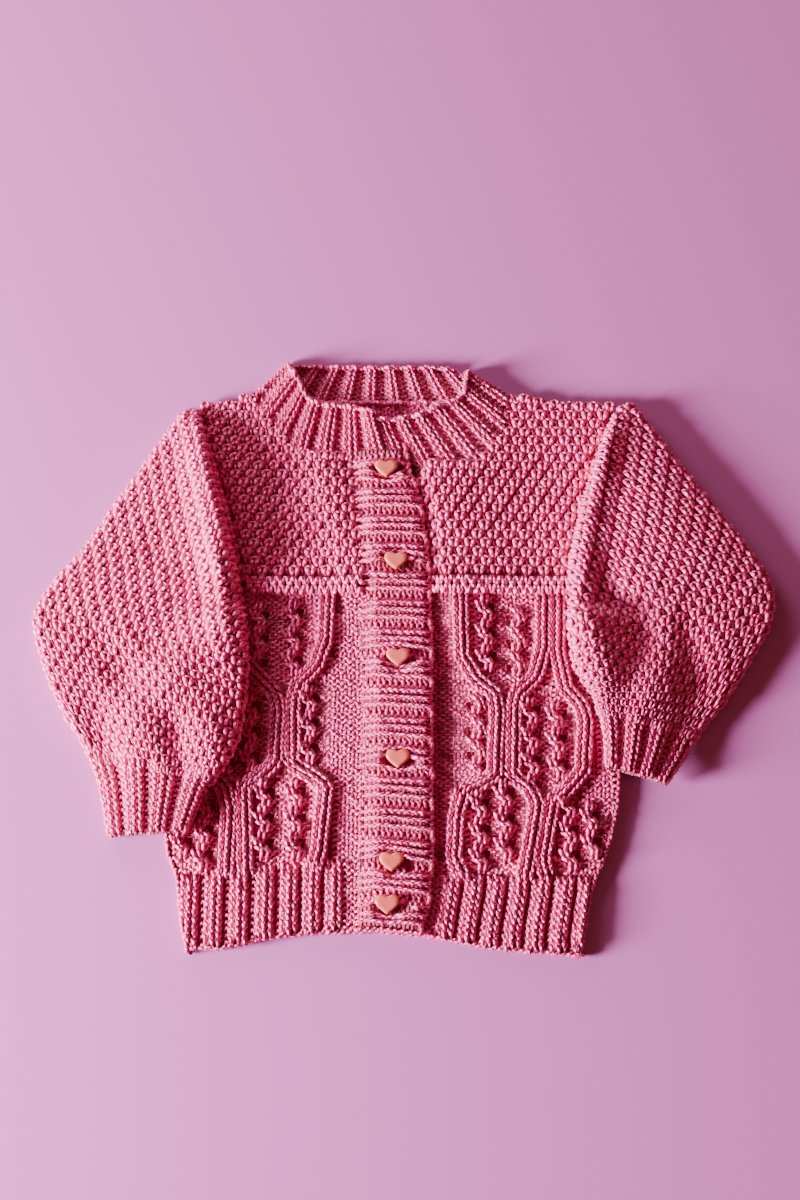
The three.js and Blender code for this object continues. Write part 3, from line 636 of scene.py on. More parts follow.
LEFT = Half(
    side=-1,
    shoulder=(-100.6, 104),
    fold=[(-75, -24), (-77, -4), (-79, 14), (-86, 41), (-94, 68), (-103.5, 105)],
    edge=[
        (-172, -99), (-160, -102), (-146, -104), (-138, -105), (-127, -110), (-119, -111), (-90, -110),
        (-66, -107), (-50, -104), (-44, -98), (-34, -88), (UNDERARM_Y, -80),
    ],
    outer=[
        (-103.5, 105), (-113, 97), (-125, 79), (-142, 52), (-160, 23), (-174, 5), (-181, -10), (-177, -29),
        (-171, -44), (-163, -60), (-152, -77), (-148.5, -86), (-145, -95), (-139, -120),
    ],
    inner=[
        (-103.5, 105), (-100.5, 93), (-92.5, 63), (-84, 34), (-77.5, 0), (-74.6, -24), (-74, -40),
        (-74.5, -54), (-77, -72), (-82, -84), (-88, -93), (-91, -97), (-94, -103), (-100, -118),
    ],
)
RIGHT = Half(
    side=1,
    shoulder=(107.6, 104),
    fold=[(83.5, -24), (82.5, -6), (83, 6), (87, 27), (94, 54), (101, 78), (111, 105)],
    edge=[
        (-175, 83), (-169, 85), (-148, 89), (-139, 92), (-126, 98), (-116, 101), (-102, 104), (-90, 105),
        (-66, 107), (-50, 105), (-44, 101), (-34, 94), (UNDERARM_Y, 86.5),
    ],
    outer=[
        (111, 105), (119, 104.5), (133, 85), (152, 58), (171, 31), (181, 15), (185.5, 1), (182, -16),
        (172, -33), (158, -54), (146, -69), (139, -80), (135, -86), (128, -95),
    ],
    inner=[
        (111, 105), (109, 97), (101, 78), (92.5, 50), (85, 20), (82.5, -6), (83.5, -26), (85, -37),
        (90, -47), (93.8, -53), (95.5, -60), (96.6, -65), (97.5, -72), (98, -87),
    ],
)


def hollow_at(x: Array, y: Array, middle: tuple[float, float], reach: float) -> Array:
    """Gives 1 at a place's middle, falling to 0 at its reach."""
    return 1.0 - smooth(np.hypot(x - middle[0], y - middle[1]), 0.35 * reach, reach)


@dataclass(frozen=True)
class Crease:
    """A soft fold of the cloth: a ridge where rise is above 0, a trough where it is below."""

    start: tuple[float, float]
    end: tuple[float, float]
    rise: float
    reach: float

    def height(self, x: Array, y: Array) -> Array:
        """Gives what the fold adds to the height at each point.

        Args:
            x: Places across the picture.
            y: Places up the picture.

        Returns:
            Heights in millimetres.
        """
        first, last = np.array(self.start), np.array(self.end)
        run = last - first
        share = np.clip(((x - first[0]) * run[0] + (y - first[1]) * run[1]) / (run @ run), 0.0, 1.0)
        away = np.hypot(x - first[0] - share * run[0], y - first[1] - share * run[1])
        return self.rise * np.exp(-((away / self.reach) ** 2)) * (0.55 + 0.45 * np.sin(np.pi * share))


def waves(x: Array, y: Array, seed: float) -> Array:
    """Gives the slow unevenness of cloth that lies loose, between about -1 and 1.

    Args:
        x: Places across the picture.
        y: Places up the picture.
        seed: Shifts the waves.

    Returns:
        The unevenness at those places.
    """
    first = np.sin(x * 0.061 + y * 0.043 + seed)
    second = np.sin(x * 0.037 - y * 0.078 + 2.3 * seed)
    third = np.sin(x * 0.118 + y * 0.091 + 3.7 * seed)
    return 0.45 * first + 0.35 * second + 0.2 * third


# Shells: the cloth itself, under its stitches.


def between(left: Array, right: Array, columns: int) -> Array:
    """Gives rows of evenly spaced points from a left line to a right line.

    Args:
        left: Points of the left line, one for each row.
        right: Points of the right line, row by row.
        columns: Points in a row.

    Returns:
        The points, rows by columns by their numbers.
    """
    share = np.linspace(0.0, 1.0, columns)[None, :, None]
    return left[:, None] * (1.0 - share) + right[:, None] * share


def at_height(x: Array, y: Array, height: Array | float) -> Array:
    """Gives points from their places across and up the picture and their height."""
    return np.stack([x, y, np.broadcast_to(height, x.shape)], axis=-1)


def fit_to_hem(flat: Array, rows: int) -> None:
    """Bends the lowest rows of points to the curve of the hem.

    Args:
        flat: Points, rows by columns, from the hem up.
        rows: How many rows take part, less and less towards the last.
    """
    short = look_up(HEM, flat[0, :, 0]) - flat[0, :, 1]
    flat[:rows, :, 1] += np.linspace(1.0, 0.0, rows)[:, None] * short[None, :]


def cloth_data(vertices: Array, quads: Array, triangles: Array, rise: Array) -> MeshData:
    """Gives a mesh of plain cloth, laid out by its places across and up the picture."""
    return MeshData(vertices, quads, triangles, vertices[:, :2] * LAYOUT, rise, np.full(len(vertices), 0.5))


def closed_sheet(upper: Array, lower: Array) -> MeshData:
    """Makes a closed sheet from two grids of points that are alike in size.

    Args:
        upper: Points of the face, rows by columns by three.
        lower: Points of the underside.

    Returns:
        The mesh, with faces outwards if the grid's rows and columns turn left seen from the face.
    """
    rows, columns = upper.shape[:2]
    count = rows * columns
    index = np.arange(count).reshape(rows, columns)
    top = np.stack([index[:-1, :-1], index[:-1, 1:], index[1:, 1:], index[1:, :-1]], axis=-1).reshape(-1, 4)
    bottom = top[:, ::-1] + count
    rim = np.concatenate([index[0, :-1], index[:-1, -1], index[-1, :0:-1], index[:0:-1, 0]])
    ahead = np.roll(rim, -1)
    wall = np.stack([rim, rim + count, ahead + count, ahead], axis=-1)
    vertices = np.vstack([upper.reshape(-1, 3), lower.reshape(-1, 3)])
    # Painted shade: the face gets 0, so the cloth's finish paints it deep red where it shows between stitches
    rise = np.concatenate([np.zeros(count), np.full(count, PLAIN_SIDE)])
    quads = np.vstack([top, bottom, wall])
    return cloth_data(vertices, quads, np.zeros((0, 3), int), rise)


# Finishes.


Value = bpy.types.NodeSocket | float | tuple[float, ...]


class NodeTree:
    """A new material, with short ways to add nodes to it and join them."""

    def __init__(self, name: str) -> None:
        """Starts the material.

        Args:
            name: Its name.
        """
        self.material = bpy.data.materials.new(name)
        self.material.use_nodes = True
        self.nodes = self.material.node_tree.nodes
        self.links = self.material.node_tree.links

    def put(self, node: bpy.types.Node, inputs: dict[str | int, Value]) -> None:
        """Sets inputs of a node to numbers or colours, or joins them to other nodes' outputs.

        Args:
            node: The node.
            inputs: What goes into each input.
        """
        for slot, value in inputs.items():
            if isinstance(value, bpy.types.NodeSocket):
                self.links.new(value, node.inputs[slot])
            else:
                node.inputs[slot].default_value = value

    def add(self, kind: str, inputs: dict[str | int, Value], **options: str) -> bpy.types.NodeOutputs:
        """Adds one node.

        Args:
            kind: Its type, without the words ShaderNode.
            inputs: What goes into each input.
            **options: Its own settings.

        Returns:
            Its outputs.
        """
        node = self.nodes.new("ShaderNode" + kind)
        for option, choice in options.items():
            setattr(node, option, choice)
        self.put(node, inputs)
        return node.outputs

    def maths(self, operation: str, *values: Value) -> bpy.types.NodeSocket:
        """Adds one Math node and gives its output."""
        return self.add("Math", dict(enumerate(values)), operation=operation)[0]

    def mix(self, share: Value, first: Value, second: Value) -> bpy.types.NodeSocket:
        """Adds one node that mixes two colours.

        Args:
            share: Share of the second colour.
            first: Red, green and blue, or another node's colour.
            second: The same for the other colour.

        Returns:
            The mixed colour.
        """
        inputs = {"Factor": share}
        for slot, colour in (("A", first), ("B", second)):
            inputs[slot] = colour if isinstance(colour, bpy.types.NodeSocket) else (*colour, 1.0)
        return self.add("Mix", inputs, data_type="RGBA")["Result"]

    def attribute(self, name: str) -> bpy.types.NodeSocket:
        """Gives a value that the mesh holds."""
        return self.add("Attribute", {}, attribute_name=name)["Fac"]

    def layout(self) -> tuple[bpy.types.NodeSocket, bpy.types.NodeSocket]:
        """Gives the place across and along in the mesh's layout."""
        split = self.add("SeparateXYZ", {0: self.add("UVMap", {}, uv_map="UVMap")["UV"]})
        return split["X"], split["Y"]

    def noise(self, scale: float, inputs: dict[str | int, Value]) -> bpy.types.NodeSocket:
        """Gives soft noise over the object."""
        place = self.add("TexCoord", {})["Object"]
        return self.add("TexNoise", {"Vector": place, "Scale": scale, **inputs})["Fac"]

    def finish(self, inputs: dict[str | int, Value], height: Value | None = None, bump: float = 0.0) -> None:
        """Sets the material's shader.

        Args:
            inputs: What goes into its inputs.
            height: Height of the bumps, if there are any.
            bump: Size of the bumps, in metres.
        """
        if height is not None:
            normal = self.add("Bump", {"Distance": bump, "Strength": 1.0, "Height": height})["Normal"]
            inputs = {**inputs, "Normal": normal}
        self.put(self.nodes["Principled BSDF"], inputs)


@dataclass(frozen=True)
class YarnFinish:
    """Soft two-ply yarn: pink on its rounds, with painted highlights on its ply crests and painted shade in
    deep red where it dives into the cloth and on sunk stitches.
    """

    name: str = "pink_yarn"
    crown: tuple[float, float, float] = (0.87, 0.006, 0.20)
    # Painted highlight: the pale pink laid on the yarn's ply crests.
    pale: tuple[float, float, float] = (1.0, 0.185, 0.56)
    # Painted shade: the deep red laid where the yarn dives into the cloth and on sunk stitches.
    painted_shade: tuple[float, float, float] = (0.44, 0.002, 0.085)
    ply_length: float = 2.2
    fibre_size: float = 2200.0
    bump: float = 0.0006

    def material(self) -> bpy.types.Material:
        """Makes the material.

        Returns:
            The yarn's material, with the twist in its bump and the depth in its colour.
        """
        tree = NodeTree(self.name)
        across, along = tree.layout()
        turns = tree.maths("ADD", tree.maths("DIVIDE", along, self.ply_length), across)
        wave = tree.maths("SINE", tree.maths("MULTIPLY", turns, 2.0 * math.pi))
        ply = tree.maths("MULTIPLY_ADD", wave, 0.5, 0.5)
        fibre = tree.noise(self.fibre_size, {"Detail": 4.0, "Roughness": 0.7})
        # Painted highlight: the ply crests, broken up by fibre noise, are mixed towards pale pink.
        painted_highlight = tree.maths("MULTIPLY", ply, fibre)
        own = tree.maths("MULTIPLY", tree.attribute("shade"), 0.25)
        lit = tree.mix(tree.maths("MULTIPLY_ADD", painted_highlight, 1.05, own), self.crown, self.pale)
        # Painted shade: the low points of each stitch, by its rise, are mixed towards deep red.
        limits = {"From Min": 0.22, "From Max": 0.78, "Value": tree.attribute("rise")}
        depth = tree.add("MapRange", limits, interpolation_type="SMOOTHSTEP")["Result"]
        tree.finish(
            {
                "Base Color": tree.mix(depth, self.painted_shade, lit),
                "Roughness": 0.33,
                "Specular IOR Level": 0.8,
                "Sheen Weight": 0.2,
                "Sheen Roughness": 0.4,
                "Sheen Tint": (1.0, 0.55, 0.75, 1.0),
                "Subsurface Weight": 0.2,
                "Subsurface Scale": 0.0012,
                "Subsurface Radius": (1.0, 0.18, 0.3),
            },
            height=tree.maths("MULTIPLY_ADD", fibre, 0.3, ply),
            bump=self.bump,
        )
        return tree.material


@dataclass(frozen=True)
class ClothFinish:
    """The cloth under the raised stitches: painted shade in deep red on its face, where it shows in the gaps,
    and knitted pink on its plain sides, with painted shade in the small stitches' low parts.
    """

    name: str = "pink_cloth"
    plain: tuple[float, float, float] = (0.52, 0.005, 0.15)
    # Painted shade: the deep red that the cloth's face shows between the stitches and in the holes, and in
    # the low parts of its small stitches.
    furrow: tuple[float, float, float] = (0.30, 0.001, 0.05)
    stitch_wide: float = 0.4
    row_tall: float = 0.3
    bump: float = 0.0009

    def material(self) -> bpy.types.Material:
        """Makes the material.

        Returns:
            The cloth's material, with small knitted stitches in its bump, and painted shade in its colour.
        """
        tree = NodeTree(self.name)
        across, along = tree.layout()
        column = tree.maths("DIVIDE", across, self.stitch_wide)
        row = tree.maths("DIVIDE", along, self.row_tall)
        slant = tree.maths("SUBTRACT", row, tree.maths("PINGPONG", column, 0.5))
        rows = tree.maths("SINE", tree.maths("MULTIPLY", slant, 2.0 * math.pi))
        legs = tree.maths("COSINE", tree.maths("MULTIPLY", column, 4.0 * math.pi))
        height = tree.maths("MULTIPLY_ADD", rows, 0.3, tree.maths("MULTIPLY_ADD", legs, -0.35, 0.35))
        # Painted shade: all over the face, whose rise is 0, and where the small stitches are low, the colour
        # goes to deep red.
        amount = tree.maths("MULTIPLY", height, tree.attribute("rise"))
        colour = tree.mix(amount, self.furrow, self.plain)
        tree.finish({"Base Color": colour, "Roughness": 0.8, "Sheen Weight": 0.3}, height, self.bump)
        return tree.material


@dataclass(frozen=True)
class ButtonFinish:
    """Glossy peach plastic, a little cloudy inside."""

    name: str = "peach_plastic"
    face: tuple[float, float, float] = (0.60, 0.10, 0.075)
    cloud: tuple[float, float, float] = (0.70, 0.15, 0.12)

    def material(self) -> bpy.types.Material:
        """Makes the material.

        Returns:
            The buttons' material.
        """
        tree = NodeTree(self.name)
        cloud = tree.noise(160.0, {"Detail": 2.0})
        gloss = tree.add("MapRange", {"To Min": 0.16, "To Max": 0.34, "Value": tree.noise(900.0, {})})
        tree.finish({
            "Base Color": tree.mix(cloud, self.face, self.cloud),
            "Roughness": gloss["Result"],
            "Subsurface Weight": 0.15,
            "Subsurface Radius": (0.004, 0.002, 0.001),
            "Coat Weight": 0.4,
            "Coat Roughness": 0.12,
        })
        return tree.material


@dataclass
class Wardrobe:
    """The finishes, each made once."""

    yarn: bpy.types.Material
    cloth: bpy.types.Material
    button: bpy.types.Material


def dress(piece: bpy.types.Object, node: str, material: bpy.types.Material) -> None:
    """Gives a piece its finish and its place in the frame.

    Args:
        piece: The finished object.
        node: The solid that it stands for.
        material: Its finish.
    """
    piece.data.materials.append(material)
    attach(piece, "root")
    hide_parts(node)
    LOG.info("%s: %d faces", piece.name, len(piece.data.polygons))


def outwards(piece: bpy.types.Object) -> None:
    """Turns all faces of a closed piece outwards.

    Args:
        piece: The piece.
    """
    mesh = bmesh.new()
    mesh.from_mesh(piece.data)
    bmesh.ops.recalc_face_normals(mesh, faces=mesh.faces)
    mesh.to_mesh(piece.data)
    mesh.free()


@dataclass
class Knitted:
    """A knitted piece: a shell of cloth with its stitches, and its cut in millimetres."""

    name: str
    flat: tuple[float, float]
    area: float

    def shell(self) -> MeshData:
        """Makes the cloth."""
        raise NotImplementedError

    def yarn(self) -> list[MeshData]:
        """Lays the stitches, on the faces and then along the edges."""
        raise NotImplementedError

    def make(self, wardrobe: Wardrobe) -> None:
        """Makes the cloth and its stitches and puts them in the frame.

        Args:
            wardrobe: The finishes.
        """
        cloth = self.shell().build(self.name + "_cloth")
        outwards(cloth)
        dress(cloth, self.name, wardrobe.cloth)
        knitting = MeshData.join(self.yarn()).build(self.name + "_stitches")
        dress(knitting, self.name, wardrobe.yarn)


# The two fronts.

HOLE_PITCH = 12.4


@dataclass(frozen=True)
class Cable:
    """A raised strand of three knit columns, by its middle at each height; it is there from low to high."""

    path: list[tuple[float, float]]
    low: float = -139.0
    high: float = 1.0

    def middle(self, along: Array) -> Array:
        """Gives the strand's middle at heights of the picture."""
        return look_up(self.path, along)

    def presence(self, along: Array) -> Array:
        """Gives 1 where the strand is, falling to 0 past its ends."""
        start = smooth(along, self.low - 6.0, self.low + 1.0)
        return start * (1.0 - smooth(along, self.high - 4.0, self.high))

    def offset(self, x: Array, y: Array) -> Array:
        """Gives the distance of points from the strand's middle, square to it."""
        ahead = self.middle(y + 2.0) - self.middle(y - 2.0)
        return (x - self.middle(y)) * 4.0 / np.hypot(4.0, ahead)


@dataclass(frozen=True)
class Lace:
    """A zigzag column with a hole beside each bend: on its right where gap is positive, else on its left."""

    middle: float
    holes: tuple[float, ...]
    swing: float = 2.2
    gap: float = 2.7

    def line(self, along: Array) -> Array:
        """Gives the zigzag's middle at heights of the picture.

        Args:
            along: Heights of the picture.

        Returns:
            Places across at those heights.
        """
        share = ((self.holes[0] - along) / HOLE_PITCH) % 1.0
        swung = np.where(share < 0.35, share / 0.35, (1.0 - share) / 0.65)
        return self.middle + self.side * (self.swing * (2.0 * swung - 1.0) - 0.8)

    @property
    def side(self) -> float:
        """Gives 1 where the holes are on the right, and -1 where they are on the left."""
        return math.copysign(1.0, self.gap)


def every(first: float, last: float) -> tuple[float, ...]:
    """Gives the heights of holes from first down to last."""
    return tuple(np.arange(first, last - 0.1, -HOLE_PITCH))


@dataclass
class Front(Knitted):
    """A front: hem rib, cables with lace between them, garter ridge and moss-stitch yoke."""

    half: Half
    centre: list[tuple[float, float]]
    cables: list[Cable]
    laces: list[Lace]
    ribs: list[float]
    neck: list[tuple[float, float]]
    creases: list[Crease]
    bulge: float
    lean: float = 0.0
    rib_rise: float = 2.1
    cable_rise: float = 2.3
    ridge_rise: float = 1.5

    def __post_init__(self) -> None:
        """Keeps the line of the neck edge and the shoulder, from left to right."""
        side, centre = self.rows()
        top = np.vstack([side[-1:], centre[::-1][:46]])
        self.upper_edge = top if self.half.side < 0 else top[::-1]

    def leaning(self, along: Array) -> Array:
        """Gives how far the hem's ribs lean to the left at heights of the picture."""
        return -self.lean * smooth(-along, 138.0, 172.0)

    def place(self, across: Array, along: Array) -> Array:
        """Gives points of the front's face, as high as its ribs, cables and folds make them."""
        return np.stack([across, along, self.height(across, along)], axis=-1)

    def height(self, x: Array, y: Array) -> Array:
        """Gives the height of the face.

        Args:
            x: Places across.
            y: Places up the picture.

        Returns:
            Heights in millimetres above the floor.
        """
        result = FRONT_TOP + 0.4 * waves(x, y, 1.0 + self.half.side) + self.swell(x, y)
        for crease in self.creases:
            result = result + crease.height(x, y)
        plain = result - 0.3
        rib_top = look_up(RIB_TOP, x)
        in_rib = 1.0 - smooth(y, rib_top - 4.0, rib_top + 1.0)
        straight = x - self.leaning(y)
        nearest = np.min(np.abs(straight[..., None] - np.array(self.ribs)), axis=-1)
        result = result + in_rib * (self.rib_rise * rounded(nearest, 5.6) - 1.2)
        for cable in self.cables:
            crest = rounded(cable.offset(x, y), 6.4)
            there = cable.presence(y)
            result = np.maximum(result, plain + (1.0 - in_rib) * self.cable_rise * there * crest)
        for lace in self.laces:
            for hole in lace.holes:
                result = result - 1.6 * hollow_at(x, y, (lace.middle + lace.gap, hole), 3.0)
        middle = (RIDGE_LOW + RIDGE_HIGH) / 2
        ridge = 1.0 - smooth(np.abs(y - middle), 2.6, 5.0)
        return result + self.ridge_rise * ridge

    def swell(self, x: Array, y: Array) -> Array:
        """Gives how far the yoke bulges: on the left a hump some 40 to 70 mm right of the sleeve's fold, on
        the right a slope down from the band.

        Args:
            x: Places across the picture.
            y: Places up the picture.

        Returns:
            Heights in millimetres.
        """
        if self.half.side < 0:
            inside = x - look_up(sorted((fy, fx) for fx, fy in self.half.fold), y)
            beside = smooth(inside, 38.0, 54.0) * (1.0 - smooth(inside, 56.0, 72.0))
        else:
            inside = x - look_up(self.centre, y)
            beside = smooth(inside, 0.0, 9.0) * (1.0 - smooth(inside, 9.0, 60.0))
        return self.bulge * beside * smooth(y, -40.0, 6.0) * (1.0 - smooth(y, 66.0, 100.0))

    def limits(self, along: Array) -> tuple[Array, Array]:
        """Gives the left and right edges of the front at heights of the picture.

        Args:
            along: Heights of the picture.

        Returns:
            The left and the right edge's places across.
        """
        fold = Route(self.half.fold).at(np.linspace(0.0, 1.0, 60))
        lap = self.half.side * 3.0
        armhole = np.interp(along, fold[:, 1], fold[:, 0] + lap)
        side = np.where(along < UNDERARM_Y, self.half.side_at(along), armhole)
        middle = look_up(self.centre, along)
        return (side, middle) if self.half.side < 0 else (middle, side)

    def rows(self) -> tuple[Array, Array]:
        """Gives the side line and the centre line of the front, matched row by row from the hem up.

        Returns:
            Points of the side line and of the centre line.
        """
        lower = np.linspace(float(look_up(HEM, self.half.side * 90.0)), RIDGE_HIGH + 2.0, 112)
        left, right = self.limits(lower)
        side, middle = (left, right) if self.half.side < 0 else (right, left)
        side_line = np.column_stack([side, lower])
        centre_line = np.column_stack([middle, lower])
        fold = Route(self.half.fold).at(np.linspace(0.0, 1.0, 200))
        fold[:, 0] += self.half.side * 2.0
        above = fold[fold[:, 1] > RIDGE_HIGH + 3.0]
        above[:, 0] -= self.half.side * 2.0 * smooth(above[:, 1], 70.0, 100.0)
        upper_side = Route([*map(tuple, above[::12]), self.half.shoulder])
        inner = [(float(look_up(self.centre, y)), y) for y in (RIDGE_HIGH + 3.5, 30.0, 50.0, 66.0)]
        upper_centre = Route([*inner, *self.neck])
        shares = np.linspace(0.0, 1.0, 64)
        return (
            np.vstack([side_line, upper_side.at(shares)]),
            np.vstack([centre_line, upper_centre.at(shares)]),
        )

    def shell(self) -> MeshData:
        """Makes the cloth of the front, a thin sheet with a flat underside.

        Returns:
            The closed sheet.
        """
        side, centre = self.rows()
        left, right = (side, centre) if self.half.side < 0 else (centre, side)
        flat = between(left, right, 56)
        fit_to_hem(flat, 30)
        x, y = flat[..., 0], flat[..., 1]
        share = np.linspace(0.0, 1.0, 56)[None, :]
        edge = np.minimum(share, 1.0 - share)
        top = self.height(x, y) - SUNK - 0.9 * (1.0 - smooth(edge, 0.0, 0.03))
        return closed_sheet(at_height(x, y, top), at_height(x, y, FRONT_BASE + 0.2))

    def shown(self, x: float, y: float, margin: float = 1.6) -> bool:
        """Tells whether a stitch fits between the edges of the front and clear of the sleeve above it.

        Args:
            x: Place across the picture.
            y: Place up the picture.
            margin: Room it needs at the edges.

        Returns:
            Whether it shows.
        """
        left, right = self.limits(np.array([y]))
        outer = margin if y < UNDERARM_Y else 3.4
        low, high = (outer, margin) if self.half.side < 0 else (margin, outer)
        if not left[0] + low <= x <= right[0] - high:
            return False
        return y > look_up(HEM, np.array([x]))[0] + 0.4

    def neck_limit(self, x: float) -> float:
        """Gives the height of the neck edge or the shoulder at a place across."""
        top = self.upper_edge
        return float(np.interp(x, top[:, 0], top[:, 1]))

    def yarn(self) -> list[MeshData]:
        """Lays the front's stitches, from the hem to the neck and then along its edges.

        Returns:
            The meshes of the face and of the edges.
        """
        weave = Weave(self)
        self._hem_rib(weave)
        self._rib_fill(weave)
        self._ground(weave)
        self._cables(weave)
        self._lace(weave)
        self._ridge(weave)
        self._yoke(weave)
        return [weave.data(), *self.edges()]

    def _hem_rib(self, weave: Weave) -> None:
        """Lays the hem's ribs: three knit columns, then a sunk purl column.

        Args:
            weave: Collects the stitches.
        """
        for k, middle in enumerate(self.ribs):
            top = float(look_up(RIB_TOP, middle)) - 1.0
            bottom = float(look_up(HEM, middle)) + 0.9
            rows = int((top - bottom) / ROW_TALL)
            for column, phase in zip((-1, 0, 1, 2), RANDOM.random(4)):
                for row in range(rows + 1):
                    y = bottom + (top - bottom) * (row + 0.7 * phase) / rows
                    x = middle + column * RIB_COLUMN + float(self.leaning(np.array(y)))
                    if column == 2:
                        x += 2.55 - RIB_COLUMN / 2
                        if k + 1 < len(self.ribs):
                            weave.add(Kind.PURL, x, y, **RIB_PURL)
                    elif self.shown(x, y, 0.4):
                        weave.add(Kind.KNIT, x, y, **RIB_KNIT)

    def _rib_fill(self, weave: Weave) -> None:
        """Lays purl stitches between the hem's last rib and the band.

        Args:
            weave: Collects the stitches.
        """
        last = self.ribs[-1] if self.half.side < 0 else self.ribs[0]
        for row in range(14):
            for step in (1, 2, 3):
                x = last - self.half.side * (2.3 + 3.4 * step)
                y = -163.0 + RIB_ROW * row
                lean = float(self.leaning(np.array(y)))
                if y < float(look_up(RIB_TOP, x)) + 2.0:
                    weave.add(Kind.PURL, x + lean, y, lift=0.1, wide=0.85)

    def _near_cable(self, x: float, y: float, reach: float) -> bool:
        """Tells whether a place is under a cable.

        Args:
            x: Place across the picture.
            y: Place up the picture.
            reach: Half the cable's width.

        Returns:
            Whether a cable covers it.
        """
        at, up = np.array([x]), np.array([y])
        return any(
            cable.low - 2.0 < y < cable.high + 2.0 and abs(float(cable.offset(at, up)[0])) < reach
            for cable in self.cables
        )

    def _near_lace(self, x: float, y: float) -> bool:
        """Tells whether a place lies beside or under a lace zigzag.

        Args:
            x: Place across the picture.
            y: Place up the picture.

        Returns:
            Whether lace is near.
        """
        return any(
            lace.holes[-1] - 7.0 < y < lace.holes[0] + 6.0 and -4.0 < lace.side * (x - lace.middle) < 6.5
            for lace in self.laces
        )

    def _in_hole(self, x: float, y: float) -> bool:
        """Tells whether a place is in one of the lace's holes.

        Args:
            x: Place across the picture.
            y: Place up the picture.

        Returns:
            Whether a hole is there.
        """
        holes = ((lace.middle + lace.gap, hole) for lace in self.laces for hole in lace.holes)
        return any(math.hypot(x - hole_x, y - hole_y) < 2.3 for hole_x, hole_y in holes)

    def _ground(self, weave: Weave) -> None:
        """Lays the purl ground between the hem rib and the ridge.

        Args:
            weave: Collects the stitches.
        """
        for row in range(60):
            y = -136.0 + row * ROW_TALL * 0.93
            if y > RIDGE_LOW - 1.0:
                break
            left, right = (float(edge[0]) for edge in self.limits(np.array([y])))
            columns = int((right - left) / STITCH_WIDE)
            for column in range(columns + 1):
                inward = 1.8 + column * STITCH_WIDE
                x = right - inward if self.half.side < 0 else left + inward
                if y < float(look_up(RIB_TOP, x)) + 1.5 or not self.shown(x, y):
                    continue
                if self._near_cable(x, y, 5.0) or self._in_hole(x, y):
                    continue
                # Purl beside the lace and next to the band on the right lies lower, which also paints it
                # darker as painted shade
                deep = self._near_lace(x, y) or (self.half.side > 0 and x < left + 14.0)
                weave.add(Kind.PURL, x, y, lift=-0.8 if deep else -0.35, bold=0.85)

    def _cables(self, weave: Weave) -> None:
        """Lays three knit columns along each strand.

        Args:
            weave: Collects the stitches.
        """
        for cable in self.cables:
            heights = np.linspace(cable.low, cable.high, 900)
            line = np.column_stack([cable.middle(heights), heights])
            softened = line.copy()
            softened[12:-12, 0] = np.convolve(line[:, 0], np.ones(25) / 25, "valid")
            reach = reach_along(softened)
            count = int(reach[-1] / (ROW_TALL * 0.97))
            for column, phase in zip((-1, 0, 1), RANDOM.random(3)):
                for k in range(count + 1):
                    at = reach[-1] * (k + 0.8 * phase) / count
                    x, y = (float(value) for value in read_line(at, reach, softened))
                    ahead = read_line(at + 1.5, reach, softened) - read_line(at - 1.5, reach, softened)
                    turn = math.atan2(-ahead[0], max(ahead[1], 1e-3))
                    offset = column * (RIB_COLUMN + 0.15)
                    place = (x + offset * math.cos(turn), y + offset * math.sin(turn))
                    if self.shown(*place, 0.6):
                        weave.add(Kind.KNIT, *place, turn=turn, **CABLE_KNIT)

    def _lace(self, weave: Weave) -> None:
        """Lays the zigzag of each lace column, with a thin strand over each hole.

        Args:
            weave: Collects the stitches.
        """
        for lace in self.laces:
            top, bottom = lace.holes[0] + 5.0, lace.holes[-1] - 6.0
            for y in np.arange(bottom, top, 3.1):
                x = float(lace.line(np.array(y)))
                ahead = float(lace.line(np.array(y + 1.4)) - lace.line(np.array(y - 1.4)))
                turn = math.atan2(-ahead, 2.8)
                if self.shown(x, y, 2.0) and not self._near_cable(x, y, 4.4):
                    for offset, lift in ((-1.25, 1.0), (1.2, 0.7)):
                        weave.add(Kind.KNIT, x + offset, y, lift=lift, turn=turn, **LACE_KNIT)
            x, side = lace.middle + lace.gap, lace.side
            for hole in lace.holes:
                if self.shown(x, hole, 2.0):
                    beside = (x + 1.7 * side, hole + 0.6)
                    above = (x + 0.2 * side, hole + 2.6)
                    weave.add(Kind.BAR, *beside, lift=-0.1, wide=0.7, tall=0.9, turn=-0.35 * side, bold=0.8)
                    weave.add(Kind.BAR, *above, lift=0.0, wide=0.7, tall=0.75, turn=1.25 * side, bold=0.8)

    def _ridge(self, weave: Weave) -> None:
        """Lays the two rows of purl bumps of the garter ridge.

        Args:
            weave: Collects the stitches.
        """
        left, right = (float(edge[0]) for edge in self.limits(np.array([(RIDGE_LOW + RIDGE_HIGH) / 2])))
        for row, y in enumerate((RIDGE_LOW + 1.7, RIDGE_HIGH - 1.7)):
            for x in np.arange(left + 2.0 * (row + 1), right - 1.0, STITCH_WIDE):
                if self.shown(x, y, 0.8):
                    weave.add(Kind.PURL, x, y, **RIDGE_PURL)

